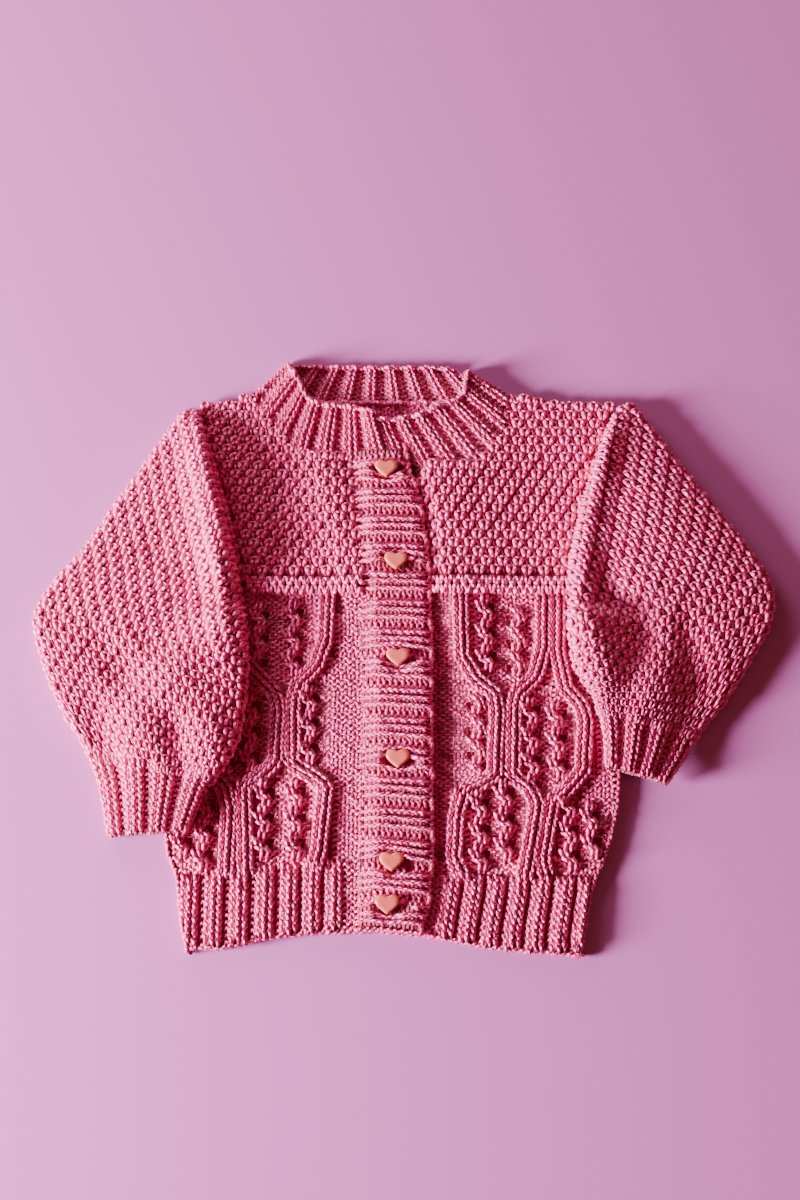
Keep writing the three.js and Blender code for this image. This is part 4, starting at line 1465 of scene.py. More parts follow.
    def _yoke(self, weave: Weave) -> None:
        """Lays the yoke's moss stitch in columns beside the band, and a last row along its upper edge.

        Args:
            weave: Collects the stitches.
        """
        side = self.half.side
        taken: list[tuple[float, float]] = []
        for row in range(24):
            y = RIDGE_HIGH + 4.4 + row * 4.7
            start = float(look_up(self.centre, np.array(y)))
            for step in range(26):
                x = start + side * (2.4 + 4.0 * step)
                if not self.shown(x, y, 1.0) or y + 0.4 > self.neck_limit(x):
                    continue
                if (row + step) % 2:
                    weave.add(Kind.KNIT, x, y - 0.4, **MOSS_KNIT)
                    continue
                taken.append((x, y))
                weave.add(Kind.MOSS, x, y, wide=1.05)
        for step in range(30):
            x = side * (20.0 + 4.0 * step)
            y = self.neck_limit(x) - 2.0
            free = all(math.hypot(x - tx, y - ty) > 3.0 for tx, ty in taken)
            if y > 60.0 and free and self.shown(x, y, 1.0):
                weave.add(Kind.MOSS, x, y, turn=0.2 * side, **LAST_MOSS)

    def edges(self) -> list[MeshData]:
        """Lays stitches along the side edge and the hem, on the cloth's thickness.

        Returns:
            The meshes of the two rows.
        """
        side = self.half.side
        heights = np.linspace(float(look_up(HEM, side * 90.0)), UNDERARM_Y, 60)
        line = np.column_stack([self.half.side_at(heights), heights])
        down = line[::-1] if side < 0 else line
        ends = sorted((line[0, 0] - side * 2.0, float(self.centre[0][1])))
        return [edge_chain(down, FRONT_BASE + CLOTH / 2), hem_chain(ends, 50, 0.5, FRONT_BASE + CLOTH / 2)]


# The back, under everything else.


@dataclass
class Back(Knitted):
    """The back panel, which shows only at its edges."""

    name: str = "back"
    flat: tuple[float, float] = (218.0, 285.0)
    area: float = 50500.0

    def outline(self) -> tuple[Array, Array]:
        """Gives the left and right edges, matched row by row from the hem to the shoulders.

        Returns:
            Points of the left and of the right edge.
        """
        lower = np.linspace(-172.0, UNDERARM_Y, 60)
        left = [np.column_stack([LEFT.side_at(lower), lower])]
        right = [np.column_stack([RIGHT.side_at(lower), lower])]
        for half, lines in ((LEFT, left), (RIGHT, right)):
            fold = Route(half.fold).at(np.linspace(0.04, 0.94, 40))
            fold[:, 0] += half.side * 2.0
            lines.append(fold)
            lines.append(np.array([half.shoulder]))
        return np.vstack(left), np.vstack(right)

    def shell(self) -> MeshData:
        """Makes the back's cloth, resting flat on the floor.

        Returns:
            The closed sheet.
        """
        flat = between(*self.outline(), 60)
        fit_to_hem(flat, 20)
        x, y = flat[..., 0], flat[..., 1]
        return closed_sheet(at_height(x, y, CLOTH - 0.2), at_height(x, y, 0.0))

    def place(self, across: Array, along: Array) -> Array:
        """Gives points of the back's inner side."""
        return at_height(across, along, CLOTH + 0.7)

    def yarn(self) -> list[MeshData]:
        """Lays the purl stitches that show through the neck, and rows along the edges.

        Returns:
            The meshes of the inside and of the edges.
        """
        weave = Weave(self)
        from_left, from_hem, pitch = -56.0, 93.5, 2.8
        for row in range(5):
            for column in range(22):
                weave.add(Kind.PURL, from_left + STITCH_WIDE * column, from_hem + pitch * row, lift=-0.35)
        left, right = self.outline()
        shoulders = np.array([(x, 103.0) for x in (104.0, 60.0, -70.0, -97.0)])
        return [
            weave.data(),
            edge_chain(left[60::-1], CLOTH / 2),
            edge_chain(right[:60], CLOTH / 2),
            hem_chain([left[0, 0], right[0, 0]], 80, 0.4, CLOTH / 2),
            edge_chain(shoulders, CLOTH / 2),
        ]


# Sleeves.


@dataclass
class Sleeve(Knitted):
    """A gathered sleeve and its ribbed cuff, flattened into a soft tube that lies partly on the body."""

    half: Half
    creases: list[Crease]
    cuff_start: float = 11.0
    ribs: int = 4
    cuff_rise: float = 2.4
    wall: float = 1.3
    crown: float = 4.0
    thick: float = 4.1
    thin: float = 2.9
    column_pitch: float = 8.0
    row_pitch: float = 4.6
    first_row: float = 6.5

    def __post_init__(self) -> None:
        """Fits the two edges of the sleeve and measures its length and widths."""
        self.outer = Route([(*point, k) for k, point in enumerate(self.half.outer)], steps=16)
        self.inner = Route([(*point, k) for k, point in enumerate(self.half.inner)], steps=16)
        stations = np.linspace(0.0, len(self.half.outer) - 1.0, 400)
        self.edge_out = self._by_station(self.outer, stations)
        self.edge_in = self._by_station(self.inner, stations)
        self.reach = reach_along((self.edge_out + self.edge_in) / 2)
        self.length = float(self.reach[-1])
        self.widths = np.linalg.norm(self.edge_out - self.edge_in, axis=1)
        self.widest = float(self.reach[int(np.argmax(self.widths))])
        self.cuff_from = float(np.interp(self.cuff_start, stations, self.reach))

    @staticmethod
    def _by_station(route: Route, stations: Array) -> Array:
        """Reads an edge by its stations instead of its length."""
        return read_line(stations, route.dense[:, 2], route.dense[:, :2])

    def way_at(self, down: float) -> tuple[float, float]:
        """Gives the half thickness and the way over the top at one distance down the sleeve."""
        _, half, way = self.girth(np.array([down]))
        return float(half[0]), float(way[0])

    @property
    def end(self) -> Array:
        """Gives the direction down the sleeve at its cuff."""
        return direction(self.edge_out[-1] - self.edge_out[-2] + self.edge_in[-1] - self.edge_in[-2])

    def girth(self, down: Array) -> tuple[Array, Array, Array]:
        """Gives the width, the half thickness and the length over the top of the sleeve's section.

        Args:
            down: Distances from the shoulder tip down the sleeve.

        Returns:
            Width, half thickness, and the way over the top from one edge to the other.
        """
        width = np.interp(down, self.reach, self.widths)
        in_cuff = smooth(down, self.cuff_from - 22.0, self.cuff_from + 2.0)
        half = np.minimum(self.thick * (1.0 - in_cuff) + self.thin * in_cuff, 0.46 * width)
        return width, half, width - 2.0 * half + math.pi * half

    def ring(self, down: Array, over: Array, skin: float) -> Array:
        """Gives points of the sleeve's section.

        Args:
            down: Distances down the sleeve.
            over: Ways over the top from the outer edge; below 0 and past the far edge it turns underneath.
            skin: How far the points lie inside the outer face.

        Returns:
            Points in millimetres.
        """
        width, half, way = self.girth(down)
        quarter = half * math.pi / 2
        out = read_line(down, self.reach, self.edge_out)
        inn = read_line(down, self.reach, self.edge_in)
        side = (inn - out) / np.maximum(width, 1e-6)[:, None]
        near = np.minimum(over, way - over)
        angle = np.clip(near / half, -math.pi / 2, math.pi / 2)
        inward = np.where(near < quarter, half * (1.0 - np.cos(angle)), half + near - quarter)
        inward = np.where(near < -quarter, half - near - quarter, inward)
        inward = inward + skin * np.cos(angle)
        from_out = np.where(over < way / 2, inward, width - inward)
        x, y = (out + side * from_out[:, None]).T
        lift = np.sin(angle)
        top = np.clip(lift, 0.0, 1.0)
        puff = np.zeros_like(x)
        for crease in self.creases:
            puff = puff + crease.height(x, y)
        roundness = np.sin(np.pi * np.clip(over / way, 0.0, 1.0)) * smooth(down, 0.0, 60.0)
        puff = puff + self.crown * roundness * (1.0 - smooth(down, self.cuff_from - 40.0, self.cuff_from))
        height = self.rest(x, y) + half + lift * np.where(lift > 0, np.maximum(half - skin, 0.2), half)
        height = height + top * (puff + 0.35 * waves(x, y, 5.0))
        height = height + top * self.ridges(down, over, way)
        return at_height(x, y, np.maximum(height, CLEAR + (skin > SUNK) * 0.5))

    def ridges(self, down: Array, over: Array, way: Array) -> Array:
        """Gives the height of the cuff's ribs, running out into the gathers above.

        Args:
            down: Distances down the sleeve.
            over: Ways over the top.
            way: Lengths over the top.

        Returns:
            Heights in millimetres.
        """
        share = over / way * self.ribs
        rib = rounded((share % 1.0) - 0.5, 0.5)
        strength = smooth(down, self.cuff_from - 16.0, self.cuff_from + 2.0)
        return strength * (self.cuff_rise * rib - 1.0)

    def rest(self, x: Array, y: Array) -> Array:
        """Gives the height of what the sleeve rests on: the body's side, then the floor beyond it.

        Args:
            x: Places across the picture.
            y: Places up the picture.

        Returns:
            Heights in millimetres.
        """
        edge = self.half.side_at(np.minimum(y, UNDERARM_Y))
        beyond = self.half.side * (x - edge)
        sideways = np.maximum(beyond - 6.0, 0.0) / 34.0
        upwards = np.maximum(y - UNDERARM_Y - 6.0, 0.0) / 13.0
        return OVER_CABLES * (1.0 - smooth(np.hypot(sideways, upwards), 0.0, 1.0))

    def place(self, across: Array, along: Array) -> Array:
        """Gives points for stitches: across counts columns from the outer edge, along runs to the shoulder.

        Args:
            across: Places from the outer edge; below 0 on the picture's left.
            along: Places up from the cuff's end.

        Returns:
            Points in millimetres.
        """
        down = self.length - along
        inside = np.clip(down, 0.5, self.length)
        _, _, way = self.girth(inside)
        gather = np.where(inside < self.widest, 1.0, way / self.way_at(self.widest)[1])
        points = self.ring(inside, -self.half.side * across * gather, 0.0)
        points[:, :2] += (down - inside)[:, None] * self.end
        return points

    def shell(self) -> MeshData:
        """Makes the sleeve's cloth: a sock with a thin wall, closed at the shoulder and open at the cuff.

        Returns:
            The closed wall.
        """
        downs = np.concatenate([np.array([4.6, 6.0]), np.linspace(8.0, self.length, 110)])
        grids = []
        for skin in (SUNK, SUNK + self.wall):
            rings = []
            for down in downs:
                _, way = self.way_at(down)
                over = np.linspace(0.0, way, 45)
                rings.append(self._closed_ring(down, over, over[1:-1], way, skin))
            grids.append(np.array(rings))
        return self._sock(*grids)

    def _closed_ring(self, down: float, top: Array, under: Array, way: float, skin: float) -> Array:
        """Gives one full ring: over the top from the outer edge, and back underneath.

        Args:
            down: Distance down the sleeve.
            top: Ways over the top.
            under: Ways back underneath.
            way: Length over the top.
            skin: How far the ring lies inside the outer face.

        Returns:
            Points of the ring.
        """
        half, _ = self.way_at(down)
        upper = self.ring(np.full(len(top), down), top, skin)
        back = way - under
        lower = self.ring(np.full(len(back), down), back, skin)
        angle = np.clip(np.minimum(back, way - back) / half, 0.0, math.pi / 2)
        inside = max(skin - SUNK, 0.0)
        floor = self.rest(lower[:, 0], lower[:, 1]) + half - np.sin(angle) * (half - inside - CLEAR)
        lower[:, 2] = np.maximum(floor, CLEAR + inside)
        return np.vstack([upper, lower])

    @staticmethod
    def _sock(outer: Array, inner: Array) -> MeshData:
        """Joins an outer and an inner skin into one closed wall, open at the last ring.

        Args:
            outer: Rings of the outer skin.
            inner: Rings of the inner skin.

        Returns:
            The closed mesh.
        """
        rings, around = outer.shape[:2]
        count = rings * around
        index = np.arange(count).reshape(rings, around)
        beside = np.roll(index, -1, axis=1)
        skin = np.stack([index[:-1], beside[:-1], beside[1:], index[1:]], axis=-1).reshape(-1, 4)
        lining = skin[:, ::-1] + count
        mouth = np.stack([index[-1], beside[-1], beside[-1] + count, index[-1] + count], axis=-1)
        vertices = np.vstack([outer.reshape(-1, 3), inner.reshape(-1, 3)])
        caps = []
        for base, flip in ((0, True), (count, False)):
            tip = len(vertices)
            ring = index[0] + base
            vertices = np.vstack([vertices, vertices[ring].mean(axis=0, keepdims=True)])
            ahead = np.roll(ring, -1)
            fan = np.stack([np.full(around, tip), ring, ahead], axis=-1)
            caps.append(fan[:, ::-1] if flip else fan)
        # Painted shade: the outer skin gets 0, so the cloth's finish paints it deep red where it shows
        # between stitches
        rise = np.zeros(len(vertices))
        rise[count : 2 * count] = PLAIN_SIDE
        return cloth_data(vertices, np.vstack([skin, lining, mouth]), np.vstack(caps), rise)

    def yarn(self) -> list[MeshData]:
        """Lays the sleeve's moss stitch, the cuff's ribs and the cast-off edge.

        Returns:
            The meshes of the face and of the edge.
        """
        weave = Weave(self)
        _, widest = self.way_at(self.widest)
        for row in range(int((self.length - self.first_row) / self.row_pitch)):
            down = self.first_row + self.row_pitch * row
            if down > self.cuff_from - 4.0:
                break
            half, way = self.way_at(down)
            reach = way if down < self.widest else widest
            round_edge = min(5.0, 1.25 * half)
            fit = 1.0 if down < self.widest else way / widest
            for column in range(-1, int(reach / self.column_pitch) + 2):
                across = self.column_pitch * (column + 0.5 * (row % 2))
                if not -round_edge < across < reach + round_edge:
                    continue
                place = (-self.half.side * across, self.length - down)
                weave.add(Kind.MOSS, *place, wide=1.05, bold=0.75 + 0.25 * fit)
                across += self.column_pitch / 2
                if across < reach + round_edge:
                    place = (-self.half.side * across, self.length - down - 0.4)
                    weave.add(Kind.KNIT, *place, **MOSS_KNIT)
        self._cuff(weave, widest)
        return [weave.data(), self._mouth()]

    def _cuff(self, weave: Weave, widest: float) -> None:
        """Lays the cuff's ribs: three knit columns on each, a sunk purl column between two.

        Args:
            weave: Collects the stitches.
            widest: The way over the top where the sleeve is widest, which the columns are counted on.
        """
        pitch = widest / self.ribs
        rows = int((self.length - self.cuff_from + 6.0) / RIB_ROW)
        for rib in range(-1, self.ribs + 1):
            middle = (rib + 0.5) * pitch
            for column, phase in zip((-1, 0, 1, 2), RANDOM.random(4)):
                for row in range(rows + 1):
                    along = 0.4 + RIB_ROW * row + 1.4 * phase
                    real = self.way_at(self.length - along)[1] / widest
                    across = middle + (pitch / 2 if column == 2 else column * pitch * 0.26)
                    if not -4.0 / real < across < widest + 4.0 / real:
                        continue
                    outward = -self.half.side * across
                    if column == 2:
                        weave.add(Kind.PURL, outward, along, wide=pitch * 0.22 / 4.2, tall=1.0, bold=0.9)
                    else:
                        weave.add(Kind.KNIT, outward, along, wide=pitch * 0.26 / 3.95)

    def _mouth(self) -> MeshData:
        """Lays the cast-off edge round the cuff's opening.

        Returns:
            The mesh of the edge.
        """
        _, way = self.way_at(self.length)
        over = np.linspace(0.0, way, 60)
        ring = self._closed_ring(self.length - 0.6, over, over[1:], way, SUNK)
        ring = np.vstack([ring, ring[:1]])
        radial = ring - ring.mean(axis=0)
        axis = np.array([*self.end, 0.0])
        radial -= np.outer(radial @ axis, axis)
        radial[:, :2] *= 0.15
        turn = -self.half.side
        return Ribbon(ring[::turn], unit(radial)[::turn]).chain(Kind.CAST_OFF, 3.2, 0.85, sunk=0.3)


# Neckband.

NECK = [
    (-7, 78, -13.5, 98.5, 1.62), (-24, 77, -26, 102.5, 1), (-45, 79, -39, 103.5, 1), (-59, 88, -47, 107, 1),
    (-69, 101, -51, 115, 1), (-73, 110, -56, 124, 0.98), (-74, 112, -57.5, 126.5, 0.5),
    (-70, 110, -54, 127, 0.02), (-58, 106.5, -45, 127, 0), (-12, 105.5, -10, 126.5, 0), (37, 107, 22, 126, 0),
    (47, 110.5, 31, 123.5, 0.02), (51.5, 113, 34.5, 122, 0.5), (52.5, 110, 34, 119, 0.98),
    (53, 102, 32.5, 110, 1), (51, 89, 29, 106, 1), (41, 75, 21, 103.5, 1), (22, 73, 10, 98, 1),
    (3, 74, -6, 95, 1), (-9, 76, -15, 96, 0.95),
]


@dataclass
class Neckband(Knitted):
    """The ribbed strip round the neck: outside in front, turned over at the shoulders, inside at the back."""

    name: str = "neckband"
    flat: tuple[float, float] = (290.0, 25.0)
    area: float = 6600.0
    ribs: int = 23
    rib_rise: float = 1.7
    stand: float = 2.6
    depth: float = 24.0

    def __post_init__(self) -> None:
        """Fits the joined edge and the free edge."""
        middle = CLOTH / 2
        joined, free = [], []
        for join_x, join_y, rim_x, rim_y, floor in NECK:
            joined.append((join_x, join_y, middle + floor * FRONT_BASE))
            free.append((rim_x, rim_y, middle + floor * FRONT_BASE + self.stand * floor))
        self.join, self.rim = Route(joined), Route(free)
        self.length = (self.join.length + self.rim.length) / 2

    def crest(self, across: Array, inner: bool) -> Array:
        """Gives the height of the ribs on one side: three columns wide outside, two columns wide inside.

        Args:
            across: Places round the neck.
            inner: Whether it is the wrong side.

        Returns:
            Shares of the height.
        """
        share = (across / self.length * self.ribs) % 1.0
        away = np.abs(share - (0.87 if inner else 0.37))
        return rounded(np.minimum(away, 1.0 - away), 0.5)

    def middle(self, across: Array, along: Array) -> Array:
        """Gives points of the strip's middle: across runs round the neck, along rises to the free edge.

        Args:
            across: Places round the neck.
            along: Places up the strip.

        Returns:
            Points in millimetres.
        """
        share = across / self.length
        low, high = self.join.at(share), self.rim.at(share)
        return low + (high - low) * (along / self.depth)[:, None]

    def floor(self, across: float) -> float:
        """Gives the layer that the strip lies in: 0 on the floor, 1 on the back.

        Args:
            across: Place along the join.

        Returns:
            The layer.
        """
        shares = np.linspace(0.0, 1.0, 400)
        floors = (self.join.at(shares)[:, 2] - CLOTH / 2) / FRONT_BASE
        return float(np.interp(across / self.length, shares, floors))

    def face(self, outer: bool) -> "NeckFace":
        """Gives the strip's right side, or its wrong side."""
        return NeckFace(self, -1.0 if outer else 1.0)

    def shell(self) -> MeshData:
        """Makes the neckband's cloth.

        Returns:
            The closed sheet.
        """
        across, along = np.meshgrid(np.linspace(0.0, self.length, 260), np.linspace(0.0, self.depth, 16))
        shape = across.shape
        flat_x, flat_y = across.ravel(), along.ravel()
        faces = []
        for outer in (True, False):
            side = self.face(outer)
            counted = -flat_x if outer else flat_x
            points = side.place(counted, flat_y) - side.out(counted, flat_y) * 0.5
            points[:, 2] = np.maximum(points[:, 2], CLEAR)
            faces.append(points.reshape(*shape, 3))
        return closed_sheet(faces[1], faces[0])

    def yarn(self) -> list[MeshData]:
        """Lays ribs on the sides that show, outside in front and inside at the back, and then the edges.

        Returns:
            The meshes of the sides and of the edges.
        """
        sides = []
        pitch = self.length / self.ribs
        for outer in (True, False):
            weave = Weave(self.face(outer))
            knit, purl = ((0.13, 0.37, 0.61), (0.87,)) if outer else ((0.75, 0.99), (0.22, 0.5))
            for rib in range(self.ribs):
                for share in knit:
                    self._column(weave, outer, (rib + share) * pitch, Kind.KNIT, pitch * 0.24)
                for share in purl:
                    self._column(weave, outer, (rib + share) * pitch, Kind.PURL, pitch * 0.25)
            self._rim(weave, outer)
            sides.append(weave.data())
        shares = np.linspace(0.0, 1.0, 200)
        rim, join = self.rim.at(shares), self.join.at(shares)
        out = self.face(True).out(-shares * self.length, np.full(200, self.depth))
        chain = Ribbon(rim, -out).chain(Kind.CAST_OFF, 3.5, 1.0, sunk=0.7)
        foot = Ribbon(join[::-1], -out[::-1]).chain(Kind.CAST_OFF, 3.5, 0.8, sunk=1.3)
        return [*sides, chain, foot]

    def _rim(self, weave: Weave, outer: bool) -> None:
        """Lays the cast-off loops that lie along the free edge, and the joined edge, on the side that shows.

        Args:
            weave: Collects the stitches.
            outer: Whether this is the strip's right side.
        """
        sign = -1.0 if outer else 1.0
        for across in np.arange(1.0, self.length - 1.0, 3.5):
            if outer == (self.floor(across) > 0.3):
                weave.add(Kind.CAST_OFF, sign * across, self.depth - 0.4, **NECK_RIM)
                if not outer:
                    weave.add(Kind.CAST_OFF, across, 0.6, **NECK_FOOT)

    def _column(self, weave: Weave, outer: bool, across: float, kind: Kind, width: float) -> None:
        """Lays one column from the joined edge to the free edge, where its side shows.

        Args:
            weave: Collects the stitches.
            outer: Whether this is the strip's right side.
            across: Place round the neck.
            kind: Which stitch.
            width: Width of the column.
        """
        floor = self.floor(across)
        if (outer and floor < 0.12) or (not outer and floor > 0.55):
            return
        sign = -1.0 if outer else 1.0
        for along in np.arange(-2.6 + 1.6 * RANDOM.random(), self.depth - 0.8, RIB_ROW):
            if kind is Kind.KNIT:
                weave.add(kind, sign * across, along, wide=width / 4.1, tall=1.04)
            else:
                weave.add(kind, sign * across, along, lift=-0.2, wide=width / 4.4, tall=0.9, bold=0.8)


@dataclass
class NeckFace:
    """One side of the neckband. sign is -1 on the right side, whose columns are counted backwards."""

    band: Neckband
    sign: float

    def out(self, across: Array, along: Array) -> Array:
        """Gives the direction out of this side.

        Args:
            across: Places across the columns.
            along: Places along the columns.

        Returns:
            One unit vector for each place.
        """
        middle, round_neck = self.band.middle, self._round_neck(across)
        step = 0.6
        ahead = middle(round_neck + step, along) - middle(round_neck - step, along)
        up = middle(round_neck, along + step) - middle(round_neck, along - step)
        return self.sign * unit(np.cross(ahead, up))

    def _round_neck(self, across: Array) -> Array:
        """Gives places round the neck from counted columns."""
        return -across if self.sign < 0 else across

    def place(self, across: Array, along: Array) -> Array:
        """Gives points of this side.

        Args:
            across: Places across the columns.
            along: Places along the columns.

        Returns:
            Points in millimetres.
        """
        round_neck = self._round_neck(across)
        rise = self.band.rib_rise * self.band.crest(round_neck, self.sign > 0) - 0.7
        result = self.band.middle(round_neck, along) + self.out(across, along) * (CLOTH / 2 + rise)[:, None]
        result[:, 2] = np.maximum(result[:, 2], CLEAR)
        return result


# Front bands and buttons.

BUTTONS = [(-7, 67), (-2, 17.5), (-1, -32.5), (-1, -83), (-4, -132.5), (-6, -152.5)]


@dataclass
class ButtonholeBand(Knitted):
    """The band on top: ribs that run across it, with a cast-off edge on the right."""

    name: str = "buttonhole_band"
    flat: tuple[float, float] = (36.0, 240.0)
    area: float = 7700.0
    bottom: float = -163.0
    top: float = 77.5
    pitch: float = 14.78
    column: float = 3.55
    rib_rise: float = 3.2
    lap: float = 2.5
    hole: float = 8.4

    def edges_at(self, y: Array) -> tuple[Array, Array]:
        """Gives the joined and the free edge, the free one scalloped by the ribs."""
        wave = 0.9 * self.rib(y)
        return look_up(LEFT_CENTRE, y) - self.lap, look_up(BAND_EDGE, y) - 0.2 - wave

    def rib(self, y: Array) -> Array:
        """Gives 1 on the crest of a rib and 0 in the furrow."""
        share = ((y - self.bottom) / self.pitch) % 1.0
        return rounded(share - 0.5, 0.5)

    def height(self, x: Array, y: Array) -> Array:
        """Gives the height of the band's face.

        Args:
            x: Places across the picture.
            y: Places up the picture.

        Returns:
            Heights in millimetres.
        """
        result = BAND_TOP + self.rib_rise * self.rib(y) - 0.8
        for bx, by in BUTTONS:
            seat = 1.0 - smooth(np.hypot(x - bx, y - by), 5.6, 8.6)
            result = result * (1.0 - seat) + (BAND_TOP - 0.1) * seat
            result = result - 1.7 * hollow_at(x, y, (bx + self.hole, by - 0.4), 3.2)
        left, right = self.edges_at(y)
        result = result - 1.9 * (1.0 - smooth(right - x, -0.6, 5.0)) + 0.25 * waves(x, y, 9.0)
        sink = 1.0 - smooth(x - left, 0.0, 9.0)
        return result * (1.0 - sink) + np.minimum(result, BAND_BASE + 0.9) * sink

    def place(self, across: Array, along: Array) -> Array:
        """Gives points of the face: across counts down the picture, along runs to the free edge.

        Args:
            across: Places across the columns.
            along: Places along the columns.

        Returns:
            Points in millimetres.
        """
        y, x = -across, along
        hem = look_up(HEM, x) - look_up(HEM, np.array([-10.0]))
        sag = hem * np.clip((self.top - y) / (self.top - self.bottom), 0.0, 1.0)
        return at_height(x, y + sag, self.height(x, y))

    def shell(self) -> MeshData:
        """Makes the band's cloth.

        Returns:
            The closed sheet.
        """
        rows, columns = 190, 26
        y = np.linspace(self.bottom, self.top, rows)
        left, right = self.edges_at(y)
        flat = between(left[:, None], right[:, None], columns)[..., 0]
        upper = self.place(-np.repeat(y, columns), flat.ravel()).reshape(rows, columns, 3)
        upper[..., 2] -= SUNK
        lower = upper.copy()
        lower[..., 2] = BAND_BASE + 0.1
        return closed_sheet(upper, lower)

    def bend(self, x: float, y: float) -> float:
        """Gives how far a rib's column is pushed aside by a button.

        Args:
            x: Place across the picture.
            y: Place up the picture.

        Returns:
            The push up the picture, in millimetres.
        """
        push = 0.0
        for bx, by in BUTTONS:
            away = y - by
            if abs(away) < 10.0:
                near = math.exp(-(((x - bx) / 7.0) ** 2)) * (1.0 - abs(away) / 10.0)
                push += math.copysign(3.0 * near, away)
        return push

    def yarn(self) -> list[MeshData]:
        """Lays the band's ribs, the strands across the buttonholes, and the edges.

        Returns:
            The meshes of the face and of the edges.
        """
        weave = Weave(self)
        for rib in range(math.ceil((self.top - self.bottom) / self.pitch)):
            crest = self.bottom + (rib + 0.5) * self.pitch
            for column in (-1, 0, 1):
                self._column(weave, crest + column * self.column, Kind.KNIT)
            self._column(weave, crest + self.pitch / 2, Kind.PURL)
        for x, y in BUTTONS:
            for offset, turn in ((-1.6, 1.82), (0.9, 1.37)):
                weave.add(Kind.BAR, -y + 0.3, x + self.hole + offset, lift=-0.6, wide=0.8, turn=turn)
        return [weave.data(), *self.border()]

    def _column(self, weave: Weave, y: float, kind: Kind) -> None:
        """Lays one column across the band, from the joined edge to the free edge.

        Args:
            weave: Collects the stitches.
            y: The column's height in the picture.
            kind: Which stitch.
        """
        left, right = (float(edge[0]) for edge in self.edges_at(np.array([y])))
        if not self.bottom + 1.0 < y < self.top - 0.5:
            return
        start = left + 0.4 + 2.6 * RANDOM.random()
        for x in np.arange(start, right - 1.4, RIB_ROW):
            place = y + self.bend(x, y)
            if any(math.hypot(x - bx, place - by) < 3.6 for bx, by in BUTTONS):
                continue
            if any(math.hypot(x - bx - self.hole, (place - by) * 1.3) < 2.4 for bx, by in BUTTONS):
                continue
            ahead = self.bend(x + 1.0, y) - self.bend(x - 1.0, y)
            turn = math.atan2(ahead, 2.0)
            form = BAND_KNIT if kind is Kind.KNIT else BAND_PURL
            weave.add(kind, -place, x, turn=turn, **form)

    def border(self) -> list[MeshData]:
        """Lays the cast-off edge on the right and a row of stitches along the lower end.

        Returns:
            The meshes of the free edge and of the hem.
        """
        y = np.linspace(self.bottom, self.top, 240)
        left, right = self.edges_at(y)
        free = self.place(-y, right)
        free[:, 2] = BAND_TOP - 1.2
        free[:, 0] -= 0.3
        tilt = np.tile(np.array([0.55, 0.0, -0.83]), (len(y), 1))
        hem_x = np.linspace(float(left[0]), float(right[0]), 20)
        hem = self.place(np.full(20, -self.bottom), hem_x)
        hem[:, 2] = (BAND_BASE + BAND_TOP) / 2
        down = np.tile(np.array([0.0, 0.0, -1.0]), (20, 1))
        return [
            Ribbon(free, tilt).chain(Kind.CAST_OFF, 3.9, 1.05, 1.15, sunk=0.2),
            Ribbon(hem, down).chain(Kind.KNIT, EDGE_PITCH, EDGE_WIDE),
        ]


@dataclass
class ButtonBand(Knitted):
    """The band underneath, hidden but for its ends."""

    name: str = "button_band"
    flat: tuple[float, float] = (31.0, 240.0)
    area: float = 6900.0

    def shell(self) -> MeshData:
        """Makes the band's cloth.

        Returns:
            The closed sheet.
        """
        y = np.linspace(-163.0, 72.0, 60)
        left = np.column_stack([np.maximum(look_up(LEFT_CENTRE, y) + 0.8, -16.0), y])
        right = np.column_stack([look_up(RIGHT_CENTRE, y) - 1.4, y])
        flat = between(left, right, 12)
        x, y = flat[..., 0], flat[..., 1]
        return closed_sheet(at_height(x, y, FRONT_TOP - 0.1), at_height(x, y, FRONT_BASE + 0.1))

    def yarn(self) -> list[MeshData]:
        """Lays the row of stitches along the hem."""
        hem = np.array([(x, -163.6) for x in np.linspace(-15.0, 12.0, 12)])
        return [edge_chain(hem, FRONT_BASE + CLOTH / 2)]


